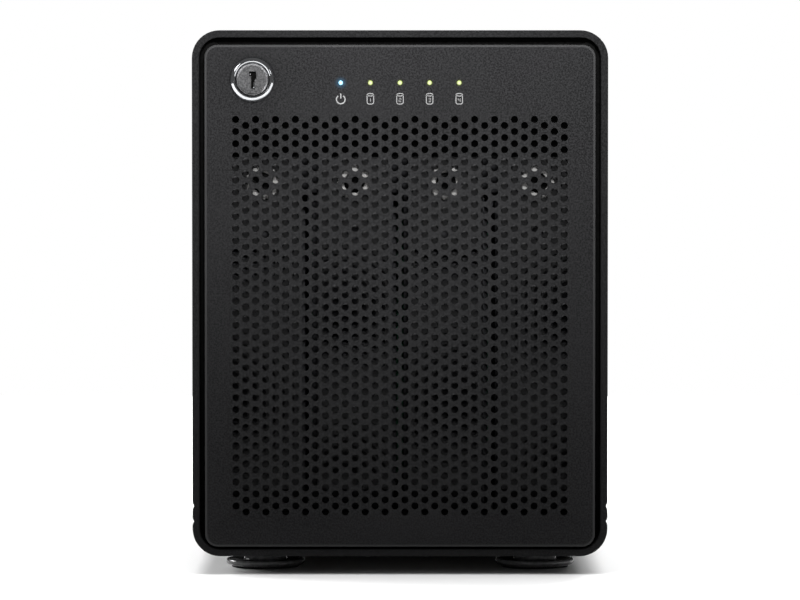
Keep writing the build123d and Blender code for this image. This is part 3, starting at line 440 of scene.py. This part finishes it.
# Painted light: the tray faces get a paler coat than the black-painted steel they are, so that they read as lit behind
# the door.
TRAY_COAT = surface(
    "tray_coat", (0.036, 0.036, 0.037), 0.5, specular=0.15, grain=0.5, bump=0.3, spread=0.25, wear_and_highlight=0.5,
    wear_and_highlight_colour=(0.16, 0.16, 0.165), edge=0.15
)
BLACK_STEEL = surface(
    "black_steel", (0.006, 0.006, 0.0065), 0.6, specular=0.1, grain=0.6, bump=0.4, spread=0.3, wear_and_highlight=0.15
)
# Painted shade: near-black with almost no gloss, darker than the parts really are, for the front frame and the keyway,
# which lie in shade.
SHADE_BLACK = surface("painted_shade_black", (0.002, 0.002, 0.002), 0.8, specular=0.02, grain=0.6, bump=0.3, spread=0.3, wear_and_highlight=0)
ZINC = surface(
    "zinc_steel", (0.5, 0.51, 0.53), 0.38, metallic=1, grain=1.2, bump=0.1, spread=0.1, stretch=(1, 0.15, 1),
    wear_and_highlight=0.2, wear_and_highlight_colour=(0.7, 0.7, 0.72)
)
BLACK_PLASTIC = surface(
    "black_plastic", (0.004, 0.004, 0.0045), 0.65, specular=0.1, grain=0.4, bump=0.35, spread=0.2, wear_and_highlight=0.1
)
# Painted light: the feet's black plastic gets a paler grey base, which stands in for the light their dishes catch.
GLOSS_PLASTIC = surface(
    "foot_plastic", (0.09, 0.09, 0.092), 0.14, grain=1.5, bump=0.03, spread=0.2, rough_spread=0.04, wear_and_highlight=0.1,
    coat=0.3
)
RUBBER = surface(
    "pad_rubber", (0.018, 0.018, 0.018), 0.8, specular=0.25, grain=0.3, bump=0.5, spread=0.25, wear_and_highlight=0.05
)
CHROME = surface(
    "bright_chrome", (0.62, 0.63, 0.65), 0.08, metallic=1, grain=0.8, bump=0.02, spread=0.04, rough_spread=0.04,
    wear_and_highlight=0.3, wear_and_highlight_colour=(0.9, 0.9, 0.92)
)
NICKEL = surface(
    "nickel_screw", (0.4, 0.395, 0.39), 0.25, metallic=0.65, grain=0.6, bump=0.05, spread=0.1, rough_spread=0.08,
    wear_and_highlight=0.4, wear_and_highlight_colour=(0.85, 0.84, 0.82)
)
BLACK_SCREW = surface(
    "black_screw", (0.02, 0.02, 0.021), 0.35, grain=0.6, bump=0.1, spread=0.2, wear_and_highlight=0.4, wear_and_highlight_colour=(0.12, 0.12, 0.12)
)
# Painted shade: the screws and knob caps in front of the middle are blackened and lose their gloss, as they sit in the
# door's gap.
painted_front_shade(BLACK_SCREW, (0.003, 0.003, 0.003), 0.03)
BARREL = surface(
    "barrel_nickel", (0.36, 0.36, 0.37), 0.4, metallic=1, grain=0.6, bump=0.35, spread=0.35, rough_spread=0.1,
    wear_and_highlight=0.6, wear_and_highlight_colour=(0.85, 0.85, 0.85)
)
# Painted shade: the drive casting is nearly black, so the drives seen in the gaps behind the door read dark.
CASTING = surface(
    "drive_casting", (0.012, 0.012, 0.013), 0.55, specular=0.15, grain=0.8, bump=0.4, spread=0.3, wear_and_highlight=0.1
)
ALUMINIUM = surface(
    "bar_aluminium", (0.62, 0.63, 0.65), 0.32, metallic=1, grain=0.9, bump=0.15, spread=0.1, stretch=(0.12, 1, 1),
    wear_and_highlight=0.3, wear_and_highlight_colour=(0.8, 0.8, 0.8)
)
BOARD = surface(
    "circuit_green", (0.012, 0.075, 0.035), 0.35, grain=2.2, bump=0.25, spread=0.5, wear_and_highlight=0.3,
    wear_and_highlight_colour=(0.35, 0.3, 0.12), coat=0.2
)
COMPONENT = surface("component_black", (0.02, 0.02, 0.022), 0.5, grain=0.5, bump=0.2, spread=0.4, wear_and_highlight=0.1)
JACK = surface(
    "jack_metal", (0.6, 0.6, 0.6), 0.3, metallic=1, grain=0.9, bump=0.08, spread=0.1, wear_and_highlight=0.3,
    wear_and_highlight_colour=(0.8, 0.8, 0.8)
)
GUIDE = surface("guide_plastic", (0.012, 0.012, 0.013), 0.6, specular=0.15, grain=0.5, bump=0.3, spread=0.2, wear_and_highlight=0.1)
CLEAR = surface("pipe_clear", (0.5, 0.55, 0.55), 0.15, grain=1.0, bump=0.02, spread=0.05, wear_and_highlight=0.1)
SWITCH = surface("switch_plastic", (0.015, 0.015, 0.017), 0.3, grain=0.7, bump=0.1, spread=0.2, wear_and_highlight=0.15)
BRASS = surface(
    "pin_brass", (0.7, 0.52, 0.22), 0.25, metallic=1, grain=0.8, bump=0.05, spread=0.1, wear_and_highlight=0.3,
    wear_and_highlight_colour=(0.9, 0.8, 0.5)
)
FAN = surface("fan_plastic", (0.012, 0.012, 0.013), 0.42, grain=0.6, bump=0.2, spread=0.25, wear_and_highlight=0.1)
WIRE = surface(
    "guard_wire", (0.72, 0.73, 0.74), 0.16, metallic=1, grain=0.9, bump=0.03, spread=0.06, wear_and_highlight=0.2,
    wear_and_highlight_colour=(0.9, 0.9, 0.9)
)
PRINT = surface("print_grey", (0.16, 0.16, 0.16), 0.6, specular=0.1, grain=0.2, bump=0.1, spread=0.12, wear_and_highlight=0.0)
BLUE_LIGHT = glowing("blue_light", (0.1, 0.25, 0.35), (0.95, 1.0, 1.0), 0.95)
GREEN_LIGHT = glowing("green_light", (0.13, 0.16, 0.04), (1.0, 1.0, 0.9), 0.85)

BY_SLOT = {
    "shell_coat": SHELL_COAT,
    "door_coat": DOOR_COAT,
    "black_steel": BLACK_STEEL,
    "zinc_steel": ZINC,
    "black_plastic": BLACK_PLASTIC,
    "foot_plastic": GLOSS_PLASTIC,
    "pad_rubber": RUBBER,
    "bright_chrome": CHROME,
    "black_screw": BLACK_SCREW,
    "nickel_screw": NICKEL,
    "lock_nickel": BARREL,
    "drive_casting": CASTING,
    "bar_aluminium": ALUMINIUM,
    "circuit_green": BOARD,
    "component_black": COMPONENT,
    "jack_metal": JACK,
    "guide_plastic": GUIDE,
    "pipe_clear": CLEAR,
    "switch_plastic": SWITCH,
    "pin_brass": BRASS,
    "fan_plastic": FAN,
    "guard_wire": WIRE,
}
for part in frame["record"]["subparts"]:
    for used in frame["nodes"][part["node"]].material_slots:
        used.material = BY_SLOT[part["material_slot"]]
# Painted shade: the front frame behind the door takes the near-black shade material.
for used in frame["nodes"]["front_frame"].material_slots:
    used.material = SHADE_BLACK

# ---------------------------------------------------------------- shell


def arc_pairs(cx, cz, start, stop, steps=10):
    """Outer and inner points round one rounded corner of the shell, angles in degrees."""
    pairs = []
    for i in range(steps + 1):
        t = math.radians(start + (stop - start) * i / steps)
        c, s = math.cos(t), math.sin(t)
        pairs.append(((cx + CORNER * c, cz + CORNER * s), (cx + (CORNER - WALL) * c, cz + (CORNER - WALL) * s)))
    return pairs


def side_pairs(side, heights):
    """Outer and inner points up one side; each height comes with how deep the groove is there."""
    return [((side * (HALF_WIDTH - depth), z), (side * (HALF_WIDTH - WALL), z)) for z, depth in heights]


def groove_profile(z, half):
    """Heights and depths across a groove, or the half of one, with softened shoulders."""
    steps = [(0, 1.0), (0.5, 0.52), (0.85, 0.2), (1.15, 0.05), (1.6, 0.0)]
    rows = [(z + share * GROOVE_HALF, depth * GROOVE_DEPTH) for share, depth in steps]
    if half == "upper":
        return rows
    lower = [(2 * z - height, depth) for height, depth in reversed(rows)]
    return lower if half == "lower" else lower[:-1] + rows


def add_shell(bm, pairs):
    """Sweeps the U-shaped section along Y, with its rims rounded over front and back."""
    rim = 0.45
    stations = [(RIM, rim), (RIM + 0.05, 0.26), (RIM + 0.2, 0.08), (RIM + rim, 0.0)]
    stations += [(RIM + SHELL_BACK - y, inset) for y, inset in reversed(stations)]
    rows = []
    for y, inset in stations:
        row = []
        for outer, inner in pairs:
            o, i = Vector(outer), Vector(inner)
            step = (i - o).normalized() * inset
            row.append([bm.verts.new((p.x, y, p.y)) for p in (o + step, i - step)])
        rows.append(row)
    for a, b in zip(rows, rows[1:]):
        for k in range(len(pairs) - 1):
            bm.faces.new((a[k][0], a[k + 1][0], b[k + 1][0], b[k][0]))
            bm.faces.new((a[k][1], b[k][1], b[k + 1][1], a[k + 1][1]))
        for k in (0, -1):
            bm.faces.new((a[k][0], b[k][0], b[k][1], a[k][1]))
    for row in (rows[0], rows[-1]):
        for k in range(len(pairs) - 1):
            bm.faces.new((row[k][0], row[k][1], row[k + 1][1], row[k + 1][0]))


def make_cover():
    bm = bmesh.new()
    x, z = HALF_WIDTH - CORNER, SHELL_TOP - CORNER
    rise = groove_profile(SEAM_Z, "upper")
    pairs = side_pairs(1, rise) + arc_pairs(x, z, 0, 90) + arc_pairs(-x, z, 90, 180) + side_pairs(-1, rise[::-1])
    add_shell(bm, pairs)
    piece = finish_mesh(bm, "cover_shell", "chassis", SHELL_COAT)
    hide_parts("top_cover")


def make_pan():
    bm = bmesh.new()
    x, z = HALF_WIDTH - CORNER, SHELL_LOW + CORNER
    fall = [row for row in groove_profile(GROOVE_Z, "both") if row[0] > z]
    fall += groove_profile(SEAM_Z, "lower")
    pairs = side_pairs(-1, fall[::-1]) + arc_pairs(-x, z, 180, 270) + arc_pairs(x, z, 270, 360) + side_pairs(1, fall)
    add_shell(bm, pairs)
    piece = finish_mesh(bm, "pan_shell", "chassis", SHELL_COAT)
    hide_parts("base_pan")


make_cover()
make_pan()

# ---------------------------------------------------------------- door
HOLE_RADIUS, HOLE_COLUMNS, HOLE_ROWS = 1.16, 34, 33
HOLE_COLUMN_PITCH, HOLE_ROW_PITCH, HOLE_TOP_Z = 3.23, 3.926, 148.1
DOOR_CORNER, DOOR_ROUND = 4.2, 0.9


def hole_centres():
    for column in range(HOLE_COLUMNS):
        drop = HOLE_ROW_PITCH / 2 if column % 2 else 0
        for row in range(HOLE_ROWS):
            yield (column - (HOLE_COLUMNS - 1) / 2) * HOLE_COLUMN_PITCH, HOLE_TOP_Z - drop - row * HOLE_ROW_PITCH


def mark_rounds(bm):
    """Sets the round attribute on the panel's outer edge, behind its flat face, where the door coat paints its edge
    highlight.
    """
    mark = bm.verts.layers.float.new("round")
    for vert in bm.verts:
        x, z = vert.co.x, vert.co.z
        inset = min(x - door_low.x, door_high.x - x, z - door_low.z, door_high.z - z)
        at_corner = inset < DOOR_CORNER and vert.co.y > DOOR_Y + 0.01
        vert[mark] = 1.0 if at_corner else 0.0


def make_door_panel():
    bm = bmesh.new()
    holes = [circle(x, z, HOLE_RADIUS, 20) for x, z in hole_centres()]
    holes += [circle(x, LIGHT_Z, LIGHT_RADIUS + 0.05, 20) for x in LIGHT_XS]
    holes.append(circle(LOCK_X, LOCK_Z, 6.05, 48))
    turns = [math.radians(a) for a in (0, 22.5, 45, 67.5, 90)]
    edge = [(DOOR_Y + DOOR_ROUND * (1 - math.cos(t)), -DOOR_ROUND * (1 - math.sin(t))) for t in turns]
    edge += [(DOOR_BACK_Y - 0.2, 0), (DOOR_BACK_Y, -0.2)]
    bore = [(DOOR_Y, 0.12), (DOOR_Y + 0.04, 0.05), (DOOR_Y + 0.13, 0), (DOOR_BACK_Y - 0.08, 0), (DOOR_BACK_Y, 0.08)]
    outline = rounded((door_low.x, door_low.z), (door_high.x, door_high.z), DOOR_CORNER)
    add_plate(bm, outline, holes, edge, bore)
    mark_rounds(bm)
    piece = finish_mesh(bm, "perforated_door", "door", DOOR_COAT)
    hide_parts("door_panel")


make_door_panel()

# ---------------------------------------------------------------- indicator lights and their printed symbols
INK_FRONT, INK_BACK = DOOR_Y - 0.03, DOOR_Y + 0.02
ICON_Z = 154.75


def arc_points(cx, cz, rx, rz, start, stop, steps=20):
    turns = [math.radians(start + (stop - start) * i / steps) for i in range(steps + 1)]
    return [(cx + rx * math.cos(t), cz + rz * math.sin(t)) for t in turns]


def add_power_symbol(bm, x, z):
    add_ribbon(bm, arc_points(x, z - 0.15, 1.4, 1.4, 125, 415), 0.42, INK_FRONT, INK_BACK)
    add_ribbon(bm, [(x, z + 0.1), (x, z + 1.75)], 0.42, INK_FRONT, INK_BACK)


DIGIT_STROKES = {
    1: ["stem"],
    2: ["top", "upper_right", "middle", "lower_left", "bottom"],
    3: ["top", "upper_right", "middle", "lower_right", "bottom"],
    4: ["upper_left", "middle", "upper_right", "lower_right"],
}


def add_digit(bm, digit, x, z):
    """A bay number in plain straight strokes."""
    w, h, stroke = 0.36, 0.55, 0.2
    ends = {
        "stem": ((0, -h), (0, h)),
        "top": ((-w, h), (w, h)),
        "middle": ((-w, 0), (w, 0)),
        "bottom": ((-w, -h), (w, -h)),
        "upper_left": ((-w, 0), (-w, h)),
        "upper_right": ((w, 0), (w, h)),
        "lower_left": ((-w, -h), (-w, 0)),
        "lower_right": ((w, -h), (w, 0)),
    }
    for name in DIGIT_STROKES[digit]:
        (x1, z1), (x2, z2) = ends[name]
        add_ribbon(bm, [(x + x1, z + z1), (x + x2, z + z2)], stroke, INK_FRONT, INK_BACK)


def add_drive_symbol(bm, digit, x, z):
    """A drum: an oval lid over a body with a rounded foot, and the bay's number on it."""
    half, lid = 1.06, 0.42
    add_ribbon(bm, arc_points(x, z + 1.35, half, lid, 0, 360, 28)[:-1], 0.3, INK_FRONT, INK_BACK, closed=True)
    foot = arc_points(x + half - 0.7, z - 1.05, 0.7, 0.6, 0, -90, 8)
    body = [(x + half, z + 1.35), *foot]
    body += [(2 * x - px, pz) for px, pz in reversed(body)]
    add_ribbon(bm, body, 0.3, INK_FRONT, INK_BACK)
    add_digit(bm, digit, x, z - 0.35)


def make_symbols():
    bm = bmesh.new()
    add_power_symbol(bm, LIGHT_XS[0], ICON_Z)
    for digit, x in enumerate(LIGHT_XS[1:], 1):
        add_drive_symbol(bm, digit, x, ICON_Z)
    piece = finish_mesh(bm, "printed_symbols", "door", PRINT)


def make_lens(name, x, material):
    """A light pipe: its domed lens in the panel's hole, and the flange and stem behind."""
    bm = bmesh.new()
    dome = [(LIGHT_RADIUS * math.cos(t), -0.3 * math.sin(t)) for t in (math.radians(a) for a in range(0, 90, 15))]
    profile = [(0, DOOR_Y - 0.3)] + [(r, DOOR_Y + y) for r, y in reversed(dome)]
    profile += [(LIGHT_RADIUS, DOOR_BACK_Y), (1.6, DOOR_BACK_Y), (1.6, DOOR_BACK_Y + 1), (1.1, DOOR_BACK_Y + 1)]
    profile += [(1.1, DOOR_BACK_Y + 3.6), (0.8, DOOR_BACK_Y + 3.9), (0, DOOR_BACK_Y + 3.9)]
    add_lathe(bm, profile, (x, 0, LIGHT_Z), count=32)
    core = bm.verts.layers.float.new("core")
    for vert in bm.verts:
        vert[core] = max(0, 1 - math.hypot(vert.co.x - x, vert.co.z - LIGHT_Z) / LIGHT_RADIUS)
    lens = finish_mesh(bm, name, "door", material)
    return lens


def make_lights():
    lenses = [make_lens(f"indicator_{i}", x, GREEN_LIGHT if i else BLUE_LIGHT) for i, x in enumerate(LIGHT_XS)]
    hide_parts("light_pipes")
    spots = []
    for i, x in enumerate(LIGHT_XS):
        reach, colour = (1.6, (0.07, 0.08, 0.015)) if i else (2.6, (0.012, 0.075, 0.14))
        spots.append(((x * MM, DOOR_Y * MM, LIGHT_Z * MM), reach * MM, colour))
    spill_light(DOOR_COAT, spots)


# Painted highlight: the door's rounded edge is tinted paler, as if it caught the light.
painted_edge_highlight(DOOR_COAT, (0.028, 0.028, 0.0285))
make_symbols()
make_lights()

# ---------------------------------------------------------------- lock


def make_lock_housing():
    bm = bmesh.new()
    front = lock_low.y
    profile = [(5.5, front + 3.0), (5.5, front + 0.55), (5.62, front + 0.2), (5.9, front), (6.15, front)]
    profile += [(6.5, front + 0.18), (6.95, front + 0.62), (7.3, front + 1.15), (7.46, front + 1.6), (7.5, DOOR_Y)]
    profile += [(6.0, DOOR_Y)]
    thread_end, back = DOOR_BACK_Y + 0.5, lock_high.y
    turns = int((back - thread_end) / 0.8)
    for i in range(turns):
        y = thread_end + i * (back - thread_end) / turns
        profile += [(6.0, y), (5.7, y + 0.35)]
    profile += [(5.9, back), (4.6, back), (4.6, front + 3.0)]
    add_lathe(bm, profile, (LOCK_X, 0, LOCK_Z), count=96)
    piece = finish_mesh(bm, "lock_bezel", "door", CHROME)
    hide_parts("lock_housing")


def keyway_points():
    outline = [(-1.05, 2.6), (1.25, 2.6), (1.25, 0.2), (0.75, -0.3), (0.75, -3.0), (-0.45, -3.0), (-0.45, 0.9), (-1.05, 1.2)]
    return [(LOCK_X + x, LOCK_Z + z) for x, z in outline]


def make_lock_barrel():
    bm = bmesh.new()
    low, high = span("lock_barrel")
    face = low.y + 0.25
    outline = circle(LOCK_X, LOCK_Z, 4.75, 72)
    add_plate(bm, outline, [polygon(keyway_points())], [(face, 0), (face + 2.6, 0)], [(face, 0), (face + 2.6, 0)])
    ring = [(4.7, face + 2.6), (4.7, face + 0.05), (4.78, face - 0.15), (4.95, face - 0.25), (5.12, face - 0.18)]
    ring += [(5.25, face + 0.02), (5.34, face + 0.3), (5.34, face + 2.2)]
    add_lathe(bm, ring, (LOCK_X, 0, LOCK_Z), count=96)
    tail = [(0, face + 4.2), (4.5, face + 4.2), (4.5, high.y - 3.2), (3.4, high.y - 3.2), (3.4, high.y), (0, high.y)]
    add_lathe(bm, tail, (LOCK_X, 0, LOCK_Z), count=64)
    core = [(3.9, face + 2.6), (4.5, face + 2.6), (4.5, face + 4.2), (3.9, face + 4.2)]
    add_lathe(bm, core, (LOCK_X, 0, LOCK_Z), count=64)
    piece = finish_mesh(bm, "lock_barrel_turned", "lock", BARREL)
    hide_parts("lock_barrel")


def make_keyway_wards():
    """Inside the keyway: a black block that fills it as painted shade, and two bright wards that glint in front of it.
    """
    y = span("lock_barrel")[0].y + 0.9
    # Painted shade: a black block fills the keyway so that it reads dark.
    bm = bmesh.new()
    add_box(bm, (LOCK_X - 1.04, y + 0.9, LOCK_Z + 0.3), (LOCK_X + 1.24, y + 1.5, LOCK_Z + 2.59))
    add_box(bm, (LOCK_X - 0.44, y + 0.9, LOCK_Z - 2.99), (LOCK_X + 0.74, y + 1.5, LOCK_Z + 0.3))
    shade_block = finish_mesh(bm, "keyway_shade_block", "lock", SHADE_BLACK)
    bm = bmesh.new()
    add_box(bm, (LOCK_X + 0.3, y, LOCK_Z - 2.98), (LOCK_X + 0.73, y + 0.88, LOCK_Z - 1.0), 0.12)
    add_box(bm, (LOCK_X - 1.03, y + 0.2, LOCK_Z + 1.5), (LOCK_X - 0.4, y + 0.88, LOCK_Z + 2.0), 0.1)
    wards = finish_mesh(bm, "keyway_wards", "lock", CHROME)


make_lock_housing()
make_lock_barrel()
make_keyway_wards()

# ---------------------------------------------------------------- trays
FACE_PERFORATION = {"columns": 7, "rows": 20, "column_pitch": 3.05, "row_pitch": 3.69, "radius": 1.0}
FACE_TOP_ROW, PEEP_Z, KNOB_Z = 105.0, 110.8, 127.5


def face_holes(bay):
    columns, rows = FACE_PERFORATION["columns"], FACE_PERFORATION["rows"]
    for column in range(columns):
        drop = FACE_PERFORATION["row_pitch"] / 2 if column % 2 else 0
        x = bay + (column - (columns - 1) / 2) * FACE_PERFORATION["column_pitch"]
        for row in range(rows):
            yield x, FACE_TOP_ROW - drop - row * FACE_PERFORATION["row_pitch"]


def make_tray_face(name, bay):
    bm = bmesh.new()
    low, high = span(f"tray_{name}_bezel")
    front, back = low.y, low.y + 1.6
    holes = [circle(x, z, FACE_PERFORATION["radius"], 14) for x, z in face_holes(bay)]
    holes += [circle(bay, z, 2.0, 24) for z in (KNOB_Z, PEEP_Z)]
    edge = [(front, -0.5), (front + 0.12, -0.22), (front + 0.5, 0), (back, 0)]
    bore = [(front, 0.08), (front + 0.1, 0), (back, 0)]
    add_plate(bm, rounded((low.x, low.z), (high.x, high.z), 1.6, 4), holes, edge, bore)
    for side in (-1, 1):
        x = sorted((bay + side * (high.x - bay - 1.0), bay + side * (high.x - bay)))
        add_box(bm, (x[0], back - 0.01, 28.6), (x[1], high.y, 121.0), 0.15)
    piece = finish_mesh(bm, f"tray_face_{name}", f"tray_{name}", TRAY_COAT)
    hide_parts(f"tray_{name}_bezel")


def knurled(x, z, radius, teeth, depth):
    """Points round a knurled rim: sharp teeth, as a function of growth."""

    def points(grow):
        result = []
        for i in range(teeth * 2):
            t = math.pi * i / teeth
            r = radius + grow - (depth if i % 2 else 0)
            result.append((x + r * math.cos(t), z + r * math.sin(t)))
        return result

    return points


def cross_points(x, z, reach, half):
    corners = [(half, half), (half, reach), (-half, reach), (-half, half), (-reach, half), (-reach, -half)]
    corners += [(-half, -half), (-half, -reach), (half, -reach), (half, -half), (reach, -half), (reach, half)]
    return [(x + a, z + b) for a, b in corners]


def make_knob(name, bay):
    """The knob's knurled grip with its neck and shank, and the black cap with a cross recess set into its face."""
    low, high = span(f"tray_{name}_knob")
    z = (low.z + high.z) / 2
    front, rim_end, seat = low.y, low.y + 4.6, low.y + 5.4
    bm = bmesh.new()
    edge = [(front, -0.8), (front + 0.25, -0.25), (front + 0.6, 0), (rim_end - 0.5, 0), (rim_end, -0.5)]
    bore = [(front, 0.25), (front + 0.2, 0), (front + 1.0, -0.05), (rim_end, -0.05)]
    add_plate(bm, knurled(bay, z, 5.68, 30, 0.42), [circle(bay, z, 3.3, 40)], edge, bore)
    shank = [(0, front + 2.7), (3.3, front + 2.7), (3.3, rim_end), (4.5, rim_end), (4.5, seat), (1.7, seat)]
    shank += [(1.7, high.y - 0.4), (1.4, high.y), (0, high.y)]
    add_lathe(bm, shank, (bay, 0, z), count=40)
    piece = finish_mesh(bm, f"knurled_knob_{name}", f"knob_{name}", NICKEL)
    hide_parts(f"tray_{name}_knob")
    bm = bmesh.new()
    face = front + 0.9
    cap = [(face, -0.35), (face + 0.2, -0.12), (face + 1.2, -0.12)]
    cross = polygon(cross_points(bay, z, 2.2, 0.42))
    add_plate(bm, circle(bay, z, 3.3, 40), [cross], cap, [(face, 0), (face + 1.2, 0)])
    add_lathe(bm, [(0, face + 1.2), (3.1, face + 1.2), (3.1, face + 1.8), (0, face + 1.8)], (bay, 0, z), count=40)
    piece = finish_mesh(bm, f"knob_cap_{name}", f"knob_{name}", BLACK_SCREW)


for bay_name, bay_x in BAYS.items():
    make_tray_face(bay_name, bay_x)
    make_knob(bay_name, bay_x)

# ---------------------------------------------------------------- feet


def make_feet():
    low, high = span("feet")
    bm = bmesh.new()
    reach = 13.0
    top = high.z
    profile = [(1.8, 3.2), (1.8, top - 0.01), (7.0, top - 0.01), (7.0, 2.9), (7.25, 2.45), (7.9, 2.2), (9.0, 2.12)]
    profile += [(10.6, 2.2), (11.8, 2.5), (12.3, 2.74), (12.6, 2.72), (12.9, 2.45), (13.0, 2.05), (12.9, 1.5)]
    profile += [(12.5, 1.0), (11.7, 0.62), (11.25, 0.6), (11.2, 1.2), (5.0, 1.2), (5.0, 0.9), (3.4, 0.9), (3.4, 3.2)]
    for x in (low.x + reach, high.x - reach):
        for y in (low.y + reach, high.y - reach):
            add_lathe(bm, profile, (x, y, 0), axis="Z", count=96)
    piece = finish_mesh(bm, "saucer_feet", "chassis", GLOSS_PLASTIC)
    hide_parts("feet")


make_feet()

# ---------------------------------------------------------------- stage, lights and camera


def plain_material(name, colour, rough):
    material = bpy.data.materials.new(name)
    material.use_nodes = True
    shader = material.node_tree.nodes["Principled BSDF"]
    shader.inputs["Base Color"].default_value = (*colour, 1)
    shader.inputs["Roughness"].default_value = rough
    shader.inputs["Specular IOR Level"].default_value = 0.1
    return material


def make_floor():
    bpy.ops.mesh.primitive_plane_add(size=1.6, location=(0, 0, 0))
    floor = bpy.context.object
    floor.name = "floor"
    floor.data.materials.append(plain_material("pale_floor", (0.9, 0.9, 0.9), 0.9))


def add_lamp(data, place, target):
    """A lamp aimed at a point, which lights the scene but isn't seen itself."""
    lamp = bpy.data.objects.new(data.name, data)
    bpy.context.scene.collection.objects.link(lamp)
    lamp.location = place
    lamp.rotation_euler = (Vector(target) - Vector(place)).to_track_quat("-Z", "Y").to_euler()
    lamp.visible_camera = False
    return lamp


def soft_light(name, place, target, width, height, power):
    data = bpy.data.lights.new(name, "AREA")
    data.shape = "RECTANGLE"
    data.size, data.size_y = width, height
    data.energy = power
    return add_lamp(data, place, target)


def spot_light(name, place, target, cone, power):
    """A soft-edged spot that lights the upper front more than the lower."""
    data = bpy.data.lights.new(name, "SPOT")
    data.energy = power
    data.spot_size = math.radians(cone)
    data.spot_blend = 1.0
    data.shadow_soft_size = 0.06
    return add_lamp(data, place, target)


def overhead_light(strength):
    """An even wash from straight above, so the floor stays pale out to the horizon."""
    data = bpy.data.lights.new("overhead", "SUN")
    data.energy = strength
    data.angle = math.radians(50)
    add_lamp(data, (0, 0, 2), (0, 0, 0)).visible_glossy = False


def make_world(shown, lit):
    """A white surround, with less light coming from it than it shows."""
    world = bpy.data.worlds.new("studio")
    bpy.context.scene.world = world
    world.use_nodes = True
    tree = world.node_tree
    background = tree.nodes["Background"]
    background.inputs["Color"].default_value = (1, 1, 1, 1)
    path = tree.nodes.new("ShaderNodeLightPath")
    level = tree.nodes.new("ShaderNodeMapRange")
    level.inputs["To Min"].default_value = lit
    level.inputs["To Max"].default_value = shown
    tree.links.new(path.outputs["Is Camera Ray"], level.inputs["Value"])
    tree.links.new(level.outputs["Result"], background.inputs["Strength"])


def make_camera():
    distance, height, aim = 1.8, 0.172, 0.0895
    data = bpy.data.cameras.new("camera")
    data.sensor_width = 36
    data.lens = 36 * distance / 0.2595
    data.clip_end = 100
    camera = bpy.data.objects.new("camera", data)
    bpy.context.scene.collection.objects.link(camera)
    front = RIM * MM
    camera.location = (0, front - distance, height)
    camera.rotation_euler = (Vector((0, front, aim)) - camera.location).to_track_quat("-Z", "Y").to_euler()
    bpy.context.scene.camera = camera


make_floor()
make_world(1.0, 0.1)
overhead_light(3.6)
key = spot_light("key", (0.05, RIM * MM - 1.19, 0.48), (0.005, RIM * MM, 0.225), 16.5, 206)
key.visible_glossy = False
front = spot_light("front", (0.0, RIM * MM - 1.6, 0.28), (0, RIM * MM, 0.18), 11, 44)
front.visible_glossy = False
soft_light("side", (-0.7, RIM * MM - 0.5, 0.63), (0, 0, 0.15), 0.32, 0.32, 2.0)
soft_light("kicker", (0.75, RIM * MM - 0.7, 0.5), (0, 0, 0.15), 0.2, 0.2, 0.5)
soft_light("back", (0.7, 1.3, 0.9), (0, 0, 0.08), 0.6, 0.6, 24)
soft_light("left", (-1.3, 0.6, 0.7), (0, 0, 0.08), 0.6, 0.6, 20)
make_camera()
bpy.context.scene.view_settings.view_transform = "Standard"
